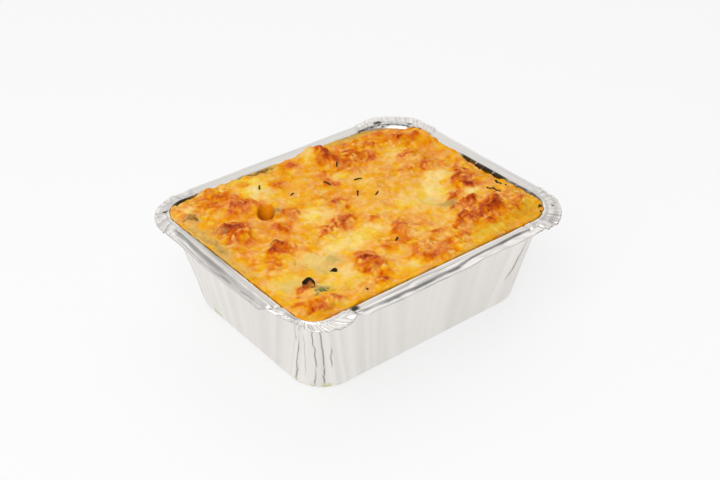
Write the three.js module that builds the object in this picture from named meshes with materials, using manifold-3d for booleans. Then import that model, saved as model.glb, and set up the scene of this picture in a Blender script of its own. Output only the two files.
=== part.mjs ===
// A cheese-topped oven bake in the rectangular foil tray that it was cooked in.
// Millimetres, +Z up. The origin is the middle of the tray's underside, X runs along the long side.
import * as THREE from 'three';
import { mergeVertices } from 'three/addons/utils/BufferGeometryUtils.js';
import Module from 'manifold-3d';

const wasm = await Module();
wasm.setup();

// Driving dimensions of the tray.
const RIM_LENGTH = 146; // over the flange, along X
const RIM_WIDTH = 121; // over the flange, along Y
const TRAY_HEIGHT = 44; // table to the top of the rim
const RIM_CORNER_RADIUS = 22;
const FLANGE_WIDTH = 7.6; // rim edge to the top of the wall
const OPENING_CORNER_RADII = [17, 12, 7, 16]; // at the far, left, near and right corners
const BASE_INSET = 15; // rim edge to the foot of the wall, so the walls lean out
const BASE_CORNER_RADIUS = 16.4;
const BASE_EDGE_RADIUS = 3;
const WALL = 0.5; // a stand-in for pressed foil, which is about 0.1 mm thick
const FLANGE_DEPTH = 1.7; // underside of the flange to the top of the rim
const WALL_TOP = TRAY_HEIGHT - FLANGE_DEPTH; // where the wall turns out into the flange

// The straight edges are hemmed: the foil is folded back over the flange as a flat lip. Each hem stops
// short of the corner, where the foil is only crimped.
const HEM_END = 4.4; // start of the corner's curve to the end of the hem
const HEM_STEP = 0.9; // length of the crimped step at a hem's end
const STEP_LIFT = 0.35; // how far that step stands up
const CRIMP_LIFT = 0.5; // up and down movement of the crimped folds at the flange's edge
const CRIMP_PUSH = 0.3; // and their movement in and out
const WEAKEST_FOLD = 0.2; // the shallowest crimped fold, as a share of the deepest
const PLEAT_DEPTH = 0.42; // creases down the corner walls
const PLEAT_FADE = 12; // height over which the creases fade out towards the base

// Driving dimensions of the filling.
const CLEARANCE = 0.35; // filling to foil
const CRUST_LEVEL = TRAY_HEIGHT - 0.7;
const CRUST_GRID = 2.25; // spacing of the points on the crust
const GRID_SHIFT = 0.9; // how far the points stray from an even grid
const CRUST_TOP = 52; // above the highest bubble
const EDGE_SLOPE_WIDTH = 5; // the crust dips to the wall over this width
const EDGE_LEVEL_WIDTH = 0.5; // and is level again right beside it
const EDGE_DIP = 0.6;
const EDGE_WANDER = 9; // distance between deeper places of that dip

// Steps round the tray.
const CORNER_STEPS = 16;
const LONG_SIDE_STEPS = 8;
const SHORT_SIDE_STEPS = 6;

const FOIL_COLOUR = 0xd9d6d3;
const CRUST_COLOUR = 0xeaa53a;
const MUSHROOM_COLOUR = 0x5a2f1a;

const radians = THREE.MathUtils.degToRad;
const mix = THREE.MathUtils.lerp;
const smoothstep = THREE.MathUtils.smoothstep;

// Repeatable noise between 0 and 1, one value for each whole-numbered place.
function randomAt(i, j, seed) {
  const wave = Math.sin(i * 127.1 + j * 311.7 + seed * 74.7) * 43758.5453;
  return wave - Math.floor(wave);
}

function smoothNoise(x, y, seed) {
  const i = Math.floor(x);
  const j = Math.floor(y);
  const across = smoothstep(x - i, 0, 1);
  const along = smoothstep(y - j, 0, 1);
  const low = mix(randomAt(i, j, seed), randomAt(i + 1, j, seed), across);
  const high = mix(randomAt(i, j + 1, seed), randomAt(i + 1, j + 1, seed), across);
  return mix(low, high, along);
}

// ---- Stations round the tray ----
// A station is one place on the outline. It lies in a corner's curve, or a share of the way from one corner
// to the next, and its heading is the way that the wall faces there.
const CORNERS = [[1, 1], [-1, 1], [-1, -1], [1, -1]];

function cornerStations(corner) {
  return Array.from({ length: CORNER_STEPS }, (_, i) => {
    const fold = i % 2 === 0 ? 1 : -1;
    const strength = mix(WEAKEST_FOLD, 1, randomAt(corner, i, 3));
    return {
      from: corner,
      to: corner,
      share: 0,
      heading: radians(90 * (corner + i / CORNER_STEPS)),
      hem: 0,
      step: 0,
      fold: i === 0 ? 0 : fold * strength,
    };
  });
}

function sideStations(corner) {
  const to = (corner + 1) % 4;
  const isLong = CORNERS[corner][0] !== CORNERS[to][0];
  const length = (isLong ? RIM_LENGTH : RIM_WIDTH) - 2 * RIM_CORNER_RADIUS;
  const steps = isLong ? LONG_SIDE_STEPS : SHORT_SIDE_STEPS;
  const hemStart = HEM_END + HEM_STEP;
  const marks = [{ at: 0, hem: 0, step: 0 }, { at: HEM_END, hem: 0, step: 1 }];
  for (let i = 0; i <= steps; i++) {
    marks.push({ at: mix(hemStart, length - hemStart, i / steps), hem: 1, step: 0 });
  }
  marks.push({ at: length - HEM_END, hem: 0, step: 1 });
  return marks.map(({ at, hem, step }) => ({
    from: corner,
    to,
    share: at / length,
    heading: radians(90 * (corner + 1)),
    hem,
    step,
    fold: 0,
  }));
}

const stations = [0, 1, 2, 3].flatMap((corner) => [...cornerStations(corner), ...sideStations(corner)]);

// A point of the outline that lies `inset` in from the rim edge, pushed out by the folds there. Each of the
// four corners has its own radius.
function outlinePoint({ from, to, share, heading, fold }, inset, radii, push) {
  const halves = [RIM_LENGTH / 2 - inset, RIM_WIDTH / 2 - inset];
  const [x, y] = halves.map((half, axis) => mix(
    CORNERS[from][axis] * (half - radii[from]),
    CORNERS[to][axis] * (half - radii[to]),
    share,
  ));
  const reach = mix(radii[from], radii[to], share) + push * fold;
  return [x + reach * Math.cos(heading), y + reach * Math.sin(heading)];
}

// ---- Wall ----
function wallRow(z, inwards) {
  const height = z / WALL_TOP;
  return {
    inset: mix(BASE_INSET, FLANGE_WIDTH, height) + inwards,
    radii: OPENING_CORNER_RADII.map((opening) => mix(BASE_CORNER_RADIUS, opening, height) - inwards),
    z,
    push: PLEAT_DEPTH * smoothstep(z, 0, PLEAT_FADE),
  };
}

// The rounded edge between a flat base at height `floor` and the wall.
function baseEdgeRows(floor, inwards, radius, angles) {
  const lean = Math.atan2(BASE_INSET - FLANGE_WIDTH, WALL_TOP);
  const joins = wallRow(floor + radius * (1 - Math.sin(lean)), inwards);
  return angles.map((angle) => {
    const turn = angle * (Math.PI / 2 - lean);
    const inset = joins.inset + radius * (Math.cos(lean) - Math.sin(turn));
    return {
      inset,
      radii: joins.radii.map((radius) => radius - (inset - joins.inset)),
      z: floor + radius * (1 - Math.cos(turn)),
      push: joins.push * angle,
    };
  });
}

const WALL_HEIGHTS = [11, 26];

// ---- Flange ----
// Each row gives its inset, and its height over the top of the wall, where the edge is hemmed and where it
// is only crimped.
const FLANGE_ROWS = [
  { hemmed: [FLANGE_WIDTH, 0], crimped: [FLANGE_WIDTH, 0], crimp: 0.1 }, // under the flange, at the wall
  { hemmed: [2.2, 0.3], crimped: [2.2, 0.4], crimp: 0.7 },
  { hemmed: [0.7, 0], crimped: [0.8, 0.3], crimp: 1 }, // underside of the hem's roll
  { hemmed: [0, 0.6], crimped: [0, 0.6], crimp: 1 },
  { hemmed: [0.3, 1.3], crimped: [0.2, 1], crimp: 1 },
  { hemmed: [1, 1.6], crimped: [0.9, 1.1], crimp: 1 }, // top of the roll
  { hemmed: [2.6, 1.4], crimped: [2.4, 1.1], crimp: 0.8 },
  { hemmed: [4.5, FLANGE_DEPTH], crimped: [4.2, 1.1], crimp: 0.5 }, // raised inner edge of the lip
  { hemmed: [4.9, 1], crimped: [4.9, 1.15], crimp: 0.4 },
  { hemmed: [6.4, 1.45], crimped: [6.4, 1.4], crimp: 0.2 }, // ridge beside the opening
  { hemmed: [7.4, 1.2], crimped: [7.4, 1.2], crimp: 0.1 },
];

function flangePoint(station, row) {
  const inset = mix(row.crimped[0], row.hemmed[0], station.hem);
  const height = mix(row.crimped[1], row.hemmed[1], station.hem);
  const radii = OPENING_CORNER_RADII.map((opening) => mix(RIM_CORNER_RADIUS, opening, inset / FLANGE_WIDTH));
  const [x, y] = outlinePoint(station, inset, radii, CRIMP_PUSH * row.crimp);
  const lift = CRIMP_LIFT * station.fold + STEP_LIFT * station.step;
  return [x, y, WALL_TOP + height + row.crimp * lift];
}

// ---- Closed solids from stacked rings ----
// The first and last rings are closed by a flat cap with one point in its middle.
function solidFromRings(rings) {
  const positions = rings.flat(2);
  const count = stations.length;
  const indices = [];
  for (let ring = 0; ring < rings.length - 1; ring++) {
    for (let i = 0; i < count; i++) {
      const next = (i + 1) % count;
      const a = ring * count + i;
      const b = ring * count + next;
      indices.push(a, b, a + count, b, b + count, a + count);
    }
  }
  const firstMiddle = positions.length / 3;
  positions.push(0, 0, rings[0][0][2], 0, 0, rings.at(-1)[0][2]);
  const lastRing = (rings.length - 1) * count;
  for (let i = 0; i < count; i++) {
    const next = (i + 1) % count;
    indices.push(firstMiddle, next, i);
    indices.push(firstMiddle + 1, lastRing + i, lastRing + next);
  }
  const geometry = new THREE.BufferGeometry();
  geometry.setAttribute('position', new THREE.Float32BufferAttribute(positions, 3));
  geometry.setIndex(indices);
  geometry.computeVertexNormals();
  return geometry;
}

const ringAt = ({ inset, radii, z, push }) =>
  stations.map((station) => [...outlinePoint(station, inset, radii, push), z]);

// The tray is one closed skin: up the outside, over the flange and down the inside.
function trayGeometry() {
  const outside = [
    ...baseEdgeRows(0, 0, BASE_EDGE_RADIUS, [0, 0.5, 1]),
    ...WALL_HEIGHTS.map((z) => wallRow(z, 0)),
  ];
  const inside = [
    wallRow(WALL_TOP, WALL),
    ...WALL_HEIGHTS.toReversed().map((z) => wallRow(z, WALL)),
    ...baseEdgeRows(WALL, WALL, BASE_EDGE_RADIUS - WALL, [1, 0.5, 0]),
  ];
  return solidFromRings([
    ...outside.map(ringAt),
    ...FLANGE_ROWS.map((row) => stations.map((station) => flangePoint(station, row))),
    ...inside.map(ringAt),
  ]);
}

// ---- Filling and crust ----
// Bubbles, heaps and hollows of the melted cheese, placed from the middle of the tray.
const CRUST_FORMS = [
  { at: [12.5, 45.5], radius: 9, height: 5.2 }, // bubbles that rose against the far walls
  { at: [9.5, 49.5], radius: 6.5, height: 2.2 },
  { at: [62, 30], radius: 8.5, height: 3.6 },
  { at: [54, 37], radius: 8, height: 1.6 },
  { at: [46, -27], radius: 14, height: 2 },
  { at: [40, -24], radius: 7, height: 1.2 },
  { at: [46, -33], radius: 8, height: 1.2 },
  { at: [51, -8], radius: 9, height: 1.6 },
  { at: [46, 17], radius: 11, height: 1.4 },
  { at: [22, 36], radius: 10, height: 1.4 },
  { at: [-20, 42], radius: 13, height: 0.9 },
  { at: [-48, 15], radius: 12, height: 1.8 },
  { at: [-38, 34], radius: 9, height: 1.1 },
  { at: [-40, -4], radius: 9, height: 1.4 },
  { at: [-10, 6], radius: 12, height: 0.9 },
  { at: [4, -33], radius: 12, height: 1.1 },
  { at: [-21, -37], radius: 9, height: 1.8 },
  { at: [-28, -49], radius: 7, height: 1.2 },
  { at: [-52, -43], radius: 10, height: 1.1 },
  { at: [-62, 27], radius: 10, height: -1.5 }, // hollows where the sauce drew back
  { at: [-34, -27], radius: 10, height: -1.2 },
  { at: [30, -13], radius: 9, height: -0.8 },
  { at: [-18, 24], radius: 7, height: -0.6 },
];

// Stretches of wall that the filling has shrunk away from: `reach` along the wall, `depth` down it.
const SHRUNK_EDGES = [
  { at: [65, -12], reach: 19, depth: 3.2 },
  { at: [65, -33], reach: 9, depth: 1 },
  { at: [61, -46], reach: 6, depth: 0.9 },
  { at: [56, 50], reach: 13, depth: 2.2 },
  { at: [37, 53], reach: 12, depth: 1.8 },
  { at: [-15, 53], reach: 11, depth: 1.3 },
  { at: [-53, 52], reach: 9, depth: 1.7 },
];
const SHRUNK_CORE = 0.35; // share of each reach over which the filling sank to its full depth

// A burst bubble: an egg-shaped pit that is steeper on one side. Its middle lies `raised` over the crust.
const PIT = { at: [-31.6, 23.2], length: 12, width: 7.6, depth: 2.9, turn: 52, tilt: -13, raised: 0.2 };

// Each blister is a round bump. `crowding` makes small ones more common, and `height` is a share of the
// radius that varies between the `flattest` and the `steepest`.
const BLISTERS = {
  count: 120,
  smallest: 1.7,
  largest: 4.4,
  crowding: 1.5,
  height: 0.34,
  flattest: 0.6,
  steepest: 1.2,
  seed: 11,
};

function blisters() {
  return Array.from({ length: BLISTERS.count }, (_, i) => {
    const size = randomAt(i, 3, BLISTERS.seed) ** BLISTERS.crowding;
    const radius = mix(BLISTERS.smallest, BLISTERS.largest, size);
    return {
      at: [
        (randomAt(i, 1, BLISTERS.seed) - 0.5) * (RIM_LENGTH - 2 * FLANGE_WIDTH),
        (randomAt(i, 2, BLISTERS.seed) - 0.5) * (RIM_WIDTH - 2 * FLANGE_WIDTH),
      ],
      radius,
      height: radius * BLISTERS.height
        * mix(BLISTERS.flattest, BLISTERS.steepest, randomAt(i, 4, BLISTERS.seed)),
    };
  });
}

const crustForms = [...CRUST_FORMS, ...blisters()];

function roundForm({ at, radius, height }, x, y) {
  const away = Math.hypot(x - at[0], y - at[1]) / radius;
  return away < 1 ? height * (1 - away * away) ** 2 : 0;
}

// Strands of grated cheese that melted together: long low ridges that wander across the crust, coarse ones
// and fine ones. They bend by `bend` over `bendSpacing`, and their mean height is taken off again.
const STRANDS = {
  coarseSpacing: 7.5,
  coarseHeight: 0.95,
  fineSpacing: 4.2,
  fineHeight: 0.6,
  bend: 7,
  bendSpacing: 17,
  meanHeight: 0.8,
};

function strands(x, y) {
  const { bend, bendSpacing, coarseSpacing, coarseHeight, fineSpacing, fineHeight, meanHeight } = STRANDS;
  const shift = bend * smoothNoise(x / bendSpacing, y / bendSpacing, 5);
  const ridge = (spacing, seed) =>
    1 - Math.abs(2 * smoothNoise((x + shift) / spacing, (y - shift) / spacing, seed) - 1);
  return coarseHeight * ridge(coarseSpacing, 6) + fineHeight * ridge(fineSpacing, 7) - meanHeight;
}

// How far inside the wall a point lies.
function fromWall(x, y) {
  const corner = CORNERS.findIndex(([sideX, sideY]) => sideX * x >= 0 && sideY * y >= 0);
  const radius = OPENING_CORNER_RADII[corner];
  const overX = Math.abs(x) - (RIM_LENGTH / 2 - FLANGE_WIDTH - radius);
  const overY = Math.abs(y) - (RIM_WIDTH / 2 - FLANGE_WIDTH - radius);
  const outer = Math.hypot(Math.max(overX, 0), Math.max(overY, 0));
  return radius - outer - Math.min(Math.max(overX, overY), 0);
}

function edgeDip(x, y) {
  const shrunk = SHRUNK_EDGES.reduce((sum, { at, reach, depth }) => {
    const away = Math.hypot(x - at[0], y - at[1]) / reach;
    return sum + depth * (1 - smoothstep(away, SHRUNK_CORE, 1));
  }, 0);
  const depth = EDGE_DIP * smoothNoise(x / EDGE_WANDER, y / EDGE_WANDER, 8) + shrunk;
  return depth * (1 - smoothstep(fromWall(x, y), EDGE_LEVEL_WIDTH, EDGE_SLOPE_WIDTH));
}

function crustHeight(x, y) {
  const heaps = crustForms.reduce((sum, form) => sum + roundForm(form, x, y), 0);
  return CRUST_LEVEL + heaps + strands(x, y) - edgeDip(x, y);
}

function toSolid(geometry) {
  const bare = geometry.clone();
  bare.deleteAttribute('normal');
  bare.deleteAttribute('uv');
  const welded = mergeVertices(bare, 1e-4);
  return new wasm.Manifold(new wasm.Mesh({
    numProp: 3,
    vertProperties: new Float32Array(welded.attributes.position.array),
    triVerts: new Uint32Array(welded.index.array),
  }));
}

function toGeometry(solid) {
  const mesh = solid.getMesh();
  const geometry = new THREE.BufferGeometry();
  geometry.setAttribute('position', new THREE.BufferAttribute(mesh.vertProperties, 3));
  geometry.setIndex(new THREE.BufferAttribute(mesh.triVerts, 1));
  geometry.computeVertexNormals();
  return geometry;
}

// The room inside the tray, carried straight up past the rim so that bubbles can stand above it.
function insideOfTray() {
  const inwards = WALL + CLEARANCE;
  const brim = wallRow(WALL_TOP, inwards);
  return toSolid(solidFromRings([
    ...baseEdgeRows(inwards, inwards, BASE_EDGE_RADIUS - WALL, [0, 0.5, 1]).map(ringAt),
    ...WALL_HEIGHTS.map((z) => ringAt(wallRow(z, inwards))),
    ringAt(brim),
    ringAt({ ...brim, z: CRUST_TOP }),
  ]));
}

// A block as large as the tray whose top is the crust, and whose bottom lies under the tray's floor.
const BLOCK_BOTTOM = -1;

function crustBlock() {
  const length = RIM_LENGTH - FLANGE_WIDTH;
  const width = RIM_WIDTH - FLANGE_WIDTH;
  const across = Math.round(length / CRUST_GRID);
  const along = Math.round(width / CRUST_GRID);
  const block = new THREE.BoxGeometry(length, width, 2, across, along, 1);
  const place = block.attributes.position;
  for (let i = 0; i < place.count; i++) {
    const [evenX, evenY] = [Math.round(place.getX(i) * 100), Math.round(place.getY(i) * 100)];
    const x = evenX / 100 + GRID_SHIFT * (randomAt(evenX, evenY, 1) - 0.5);
    const y = evenY / 100 + GRID_SHIFT * (randomAt(evenX, evenY, 2) - 0.5);
    place.setXYZ(i, x, y, place.getZ(i) > 0 ? crustHeight(x, y) : BLOCK_BOTTOM);
  }
  return toSolid(block);
}

// Dried herb needles and scorched specks that lie on the cheese, half sunk: [x, y, length, turn in degrees].
const HERB_NEEDLES = [
  [15.4, 19.9, 4.3, -8],
  [1.9, 24.3, 4.2, -75],
  [7.4, 9.9, 5, -128],
  [13.5, 4.4, 2.8, 22],
  [-14.5, 27.9, 2.4, 15],
  [15, 34.6, 2.4, -133],
  [-23, 40.2, 3, -123],
  [-43.2, -0.6, 4.4, -28],
  [-3.1, -28.8, 2.9, 25],
  [-34, -48.4, 1.8, -104],
  [54, -25.7, 5.2, -55],
  [60.5, -21.6, 4.3, -85],
  [59.4, -47, 1.9, -39],
  [-35.5, -29.8, 2.3, -39],
  [-47.6, -38, 1.9, -39],
];
const HERB_THICKNESS = 0.9;
const HERB_RISE = 0.15; // its middle lies this far over the crust

function herbNeedle([x, y, length, turn]) {
  const needle = new THREE.SphereGeometry(0.5, 6, 4);
  needle.rotateY(Math.PI / 2);
  needle.scale(length, HERB_THICKNESS, HERB_THICKNESS);
  needle.rotateZ(radians(turn));
  needle.translate(x, y, crustHeight(x, y) + HERB_RISE);
  return toSolid(needle);
}

// The burst bubble's hollow, an ellipsoid that is cut out of the crust.
function pitSolid() {
  const pit = new THREE.SphereGeometry(1, 20, 12);
  pit.scale(PIT.length / 2, PIT.width / 2, PIT.depth);
  pit.rotateY(radians(PIT.tilt));
  pit.rotateZ(radians(PIT.turn));
  return toSolid(pit.translate(PIT.at[0], PIT.at[1], crustHeight(...PIT.at) + PIT.raised));
}

// A scorched slice of mushroom that leans out of the cheese near one corner. `grow` makes it larger all
// round, for the pocket that it stands in.
const MUSHROOM = {
  at: [-50.9, -32.8],
  capWidth: 6,
  capHeight: 3.2,
  stemWidth: 3,
  stemHeight: 1.8,
  thickness: 2,
  roll: -22,
  lean: 50,
  turn: -34,
  sunk: 1.3,
};

function mushroomGeometry(grow) {
  const { at, capWidth, capHeight, stemWidth, stemHeight, thickness, roll, lean, turn, sunk } = MUSHROOM;
  const stem = stemWidth / 2 + grow;
  const cap = capWidth / 2 + grow;
  const outline = new THREE.Shape();
  outline.moveTo(-stem, -grow);
  outline.lineTo(stem, -grow);
  outline.lineTo(stem, stemHeight - grow);
  outline.lineTo(cap, stemHeight - grow);
  outline.absellipse(0, stemHeight, cap, capHeight + grow, 0, Math.PI, false);
  outline.lineTo(-cap, stemHeight - grow);
  outline.lineTo(-stem, stemHeight - grow);
  outline.closePath();
  const slice = new THREE.ExtrudeGeometry(outline, {
    depth: thickness + 2 * grow,
    bevelEnabled: false,
    curveSegments: 14,
  });
  slice.translate(0, -sunk, -thickness / 2 - grow);
  slice.rotateZ(radians(roll));
  slice.rotateX(radians(lean));
  slice.rotateZ(radians(turn));
  return slice.translate(at[0], at[1], crustHeight(...at));
}

function bakeSolid() {
  const filling = insideOfTray().intersect(crustBlock());
  const withHerbs = HERB_NEEDLES.reduce((solid, needle) => solid.add(herbNeedle(needle)), filling);
  return withHerbs.subtract(pitSolid()).subtract(toSolid(mushroomGeometry(CLEARANCE)));
}

function named(name, geometry, color, roughness, metalness) {
  const mesh = new THREE.Mesh(geometry, new THREE.MeshStandardMaterial({ color, roughness, metalness }));
  mesh.name = name;
  return mesh;
}

const group = new THREE.Group();
group.add(named('foil_tray', trayGeometry(), FOIL_COLOUR, 0.35, 1));
group.add(named('bake', toGeometry(bakeSolid()), CRUST_COLOUR, 0.5, 0));
group.add(named('mushroom_slice', mushroomGeometry(0), MUSHROOM_COLOUR, 0.6, 0));

export default group;
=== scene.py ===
import math

import bpy
import numpy as np
from mathutils import Matrix, Vector
from mathutils.bvhtree import BVHTree


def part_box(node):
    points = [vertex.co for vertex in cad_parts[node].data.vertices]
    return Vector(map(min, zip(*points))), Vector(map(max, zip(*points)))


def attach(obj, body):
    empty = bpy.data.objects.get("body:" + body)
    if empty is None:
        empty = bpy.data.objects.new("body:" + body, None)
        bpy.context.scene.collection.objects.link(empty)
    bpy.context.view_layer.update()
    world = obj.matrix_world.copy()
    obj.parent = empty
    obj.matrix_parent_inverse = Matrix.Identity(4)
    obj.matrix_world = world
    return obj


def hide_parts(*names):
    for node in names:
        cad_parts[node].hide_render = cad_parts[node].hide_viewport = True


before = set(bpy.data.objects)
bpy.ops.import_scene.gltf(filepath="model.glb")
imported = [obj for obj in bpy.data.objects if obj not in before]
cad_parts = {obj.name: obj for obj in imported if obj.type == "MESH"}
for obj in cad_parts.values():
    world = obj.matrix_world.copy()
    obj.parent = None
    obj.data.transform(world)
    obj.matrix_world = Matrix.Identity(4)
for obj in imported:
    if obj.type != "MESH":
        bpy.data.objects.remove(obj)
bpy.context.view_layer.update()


# ---- Camera ----
# A camera on a tripod looks down over the tray's nearest corner, so that both near walls and the whole
# crust show. It is turned by a fraction of a degree, as a tripod head is.
EYE = Vector((-0.26747, -0.34088, 0.31050))
AIM = Vector((0.00039, -0.00030, 0.02790))
FOCAL_LENGTH, SENSOR_WIDTH = 60.28, 36  # millimetres
ROLL = math.radians(-0.518)

forward = (AIM - EYE).normalized()
level_right = forward.cross(Vector((0, 0, 1))).normalized()
level_up = level_right.cross(forward)
tilted_right = level_right * math.cos(ROLL) + level_up * math.sin(ROLL)
tilted_up = level_up * math.cos(ROLL) - level_right * math.sin(ROLL)

camera = bpy.data.objects.new("camera", bpy.data.cameras.new("camera"))
camera.data.sensor_width = SENSOR_WIDTH
camera.data.lens = FOCAL_LENGTH
facing = Matrix((tilted_right, tilted_up, -forward)).transposed().to_4x4()
camera.matrix_world = Matrix.Translation(EYE) @ facing
bpy.context.scene.collection.objects.link(camera)
bpy.context.scene.camera = camera
bpy.context.scene.view_settings.view_transform = "Standard"


# ---- Foil tray ----
# A takeaway tray pressed from one sheet of bright aluminium foil. The spare foil gathers into flutes down
# the walls and crimps round the corners, and each straight edge is folded back over the flange as a lip.
MM = 0.001
tray_low, tray_high = [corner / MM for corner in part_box("foil_tray")]
RIM_LENGTH = tray_high.x - tray_low.x
RIM_WIDTH = tray_high.y - tray_low.y
RIM_RADIUS = 22.0
OPENING_RADII = np.array([19.0, 12.0, 9.0, 16.0])  # far, left, near and right corner
BASE_RADIUS = 16.4
BASE_INSET = 15.0
BASE_EDGE_RADIUS = 3.0
FLANGE_WIDTH = 7.6
RIDGE_INSET = 6.5  # from here inwards the flange bends down into the wall
WALL_TOP = 42.3
FOIL = 0.25  # a stand-in for real foil, which is too thin to render cleanly
CORNERS = np.array([(1, 1), (-1, 1), (-1, -1), (1, -1)], float)
FAR, LEFT, NEAR, RIGHT = range(4)

# How each corner's flange was crimped: distance between folds, their height, and how sharply it crumpled.
CRIMP_SPACING = np.array([2.3, 5.2, 2.2, 1.9])
CRIMP_HEIGHT = np.array([0.2, 0.6, 0.3, 0.7])
CRUMPLE_HEIGHT = np.array([0.35, 0.5, 0.1, 0.3])
SKIRT_DROP = np.array([0.4, 0.5, 0.35, 0.7])  # how far the crimped flange slopes down to its edge
PLEAT_DEPTH = np.array([0.15, 0.5, 0.35, 0.45])  # of the sharp lines between two folds
PLEAT_WIDTH = 0.3
FOLD_LEAN = 0.35  # the folds run this much askew for each millimetre in from the rim
FAR_FOLD_INSET, FAR_FOLD_HEIGHT = 6.8, 0.8  # a sharp fold stands up along the far corner

# The lip's top steps down towards the rim. Each mark: distance along the side, how far in from the rim
# the step starts, its width and its drop. The far sides were pressed almost flat.
LIP_STEPS = {
    LEFT: [(4, 4.2, 0.9, 0.6), (14, 4.3, 0.9, 0.7), (24, 4.0, 1.8, 1.1), (45, 3.9, 2.6, 1.35),
           (62, 3.9, 2.2, 1.3), (72, 3.6, 1.2, 0.9)],
    NEAR: [(5, 4.0, 1.0, 0.8), (16, 3.3, 1.1, 0.9), (28, 2.7, 0.65, 1.05), (42, 2.2, 0.6, 1.15),
           (56, 2.4, 0.55, 1.05), (64, 3.8, 0.5, 0.8), (98, 4.3, 0.5, 0.7)],
}
FLAT_STEP = (4.3, 1.2, 0.03)
NEAR_LIP_TOP, FAR_LIP_TOP = 44.0, 43.67
LIP_THICKNESS = 0.35
FAR_LIP_TILT = 0.11  # the far lips slope down to the rim by this much for each millimetre

# How far each lip stops short of the corner's curve, at the side's start and at its end, and how high the
# folds across the flange stand there.
HEM_ENDS = np.array([(4.4, 4.4), (4.4, 4.4), (5.2, 2.6), (4.4, 4.4)])
KNUCKLES = np.array([(0.3, 0.3), (0.5, 1.3), (1.1, 0.8), (0.45, 0.4)])
HEM_STEP = 1.0  # length of the slope at a lip's end
# Painted shadow in the notches where the lips end, darkened in the foil's colour.
SHADOWED_NOTCHES = [  # place and reach
    ((-45.2, -54.6), 2.1), ((66.0, -49.0), 0.9), ((-64.6, 49.5), 1.3), ((54.6, 54.4), 2.2),
    ((66.0, 44.3), 1.5),
]

# Places where the rim was pushed down, and where it was pushed in: place, reach and depth.
DROOPS = [((-58, -60), 9, 0.7), ((61, -58), 9, 1.1), ((8, -60.5), 9, 0.45), ((-72, 6), 10, 0.3)]
TUCKS = [((-71, -44), 15, 3.6), ((-46.5, -61), 5, 1.8)]

# Sharp creases down the corners: corner, heading at the top and at the foot, both heights, and depth.
CREASES = [
    (NEAR, 196, 193, 41, 3, 0.5), (NEAR, 230, 221, 41, 3, 0.5), (NEAR, 246, 234, 41, 4, 0.55),
    (NEAR, 263, 252, 36, 15, 0.45), (NEAR, 183, 189, 41, 30, 0.35), (NEAR, 210, 207, 34, 8, 0.2),
    (RIGHT, 276, 264, 38, 16, 0.5), (RIGHT, 292, 288, 40, 6, 0.3), (RIGHT, 325, 330, 40, 8, 0.4),
    (RIGHT, 348, 345, 40, 4, 0.45), (LEFT, 172, 168, 38, 6, 0.3), (LEFT, 140, 143, 41, 5, 0.4),
    (LEFT, 112, 108, 40, 9, 0.45), (FAR, 20, 24, 41, 4, 0.45), (FAR, 47, 43, 41, 3, 0.5),
    (FAR, 71, 76, 40, 6, 0.5),
]


def mix(low, high, share):
    return low + (high - low) * share


def smoothstep(low, high, value):
    share = np.clip((value - low) / (high - low), 0, 1)
    return share * share * (3 - 2 * share)


def lattice(i, j, seed):
    """One repeatable random value between 0 and 1 for each whole-numbered place."""
    wave = np.sin(i * 127.1 + j * 311.7 + seed * 74.7) * 43758.5453
    return wave - np.floor(wave)


def noise(x, y, seed):
    """Soft hills between 0 and 1, one unit apart."""
    i, j = np.floor(x), np.floor(y)
    across, along = smoothstep(0, 1, x - i), smoothstep(0, 1, y - j)
    low = mix(lattice(i, j, seed), lattice(i + 1, j, seed), across)
    high = mix(lattice(i, j + 1, seed), lattice(i + 1, j + 1, seed), across)
    return mix(low, high, along)


def folds(x, seed):
    """A sharply folded line between -1 and 1, with a fold about every unit."""
    i = np.floor(x)
    return 2 * mix(lattice(i, 0, seed), lattice(i + 1, 0, seed), x - i) - 1


def crumple(x, y, size, seed):
    """Flat facets that meet in sharp folds, as in foil that was squeezed together, between -1 and 1."""
    total = 0
    for layer, turn in enumerate((0.4, 1.5, 2.6)):
        across = x * math.cos(turn) + y * math.sin(turn)
        bend = 0.6 * noise(x / size / 2, y / size / 2, seed + layer)
        total = total + folds(across / size + bend + 31 * layer, seed + layer)
    return total / 2


# Stations are the places round the tray. Each lies in a corner's curve or on the side that follows it.
STATION_SPACING = 0.6
CORNER_STEPS = 110
SIDE_LENGTHS = np.array([RIM_LENGTH, RIM_WIDTH, RIM_LENGTH, RIM_WIDTH]) - 2 * RIM_RADIUS
stations = []
for corner, length in enumerate(SIDE_LENGTHS):
    for step in range(CORNER_STEPS):
        stations.append((corner, 0, 90 * (corner + step / CORNER_STEPS)))
    side_steps = round(length / STATION_SPACING)
    for step in range(side_steps):
        stations.append((corner, step / side_steps, 90 * (corner + 1)))
corner_from = np.array([station[0] for station in stations])
corner_to = (corner_from + 1) % 4
share = np.array([station[1] for station in stations])
heading = np.radians([station[2] for station in stations])
outward = np.stack([np.cos(heading), np.sin(heading)], 1)
in_corner = np.degrees(heading) < 90 * (corner_from + 1)
side_length = SIDE_LENGTHS[corner_from]
along_side = share * side_length


def outline(inset, radii, push=0):
    """The rounded rectangle that lies `inset` in from the rim, as one point for each station."""
    inset = np.broadcast_to(inset, share.shape)[:, None]
    half = np.array([RIM_LENGTH, RIM_WIDTH]) / 2 - inset
    start = CORNERS[corner_from] * (half - radii[corner_from][:, None])
    end = CORNERS[corner_to] * (half - radii[corner_to][:, None])
    reach = mix(radii[corner_from], radii[corner_to], share) + push
    return mix(start, end, share[:, None]) + reach[:, None] * outward


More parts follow.
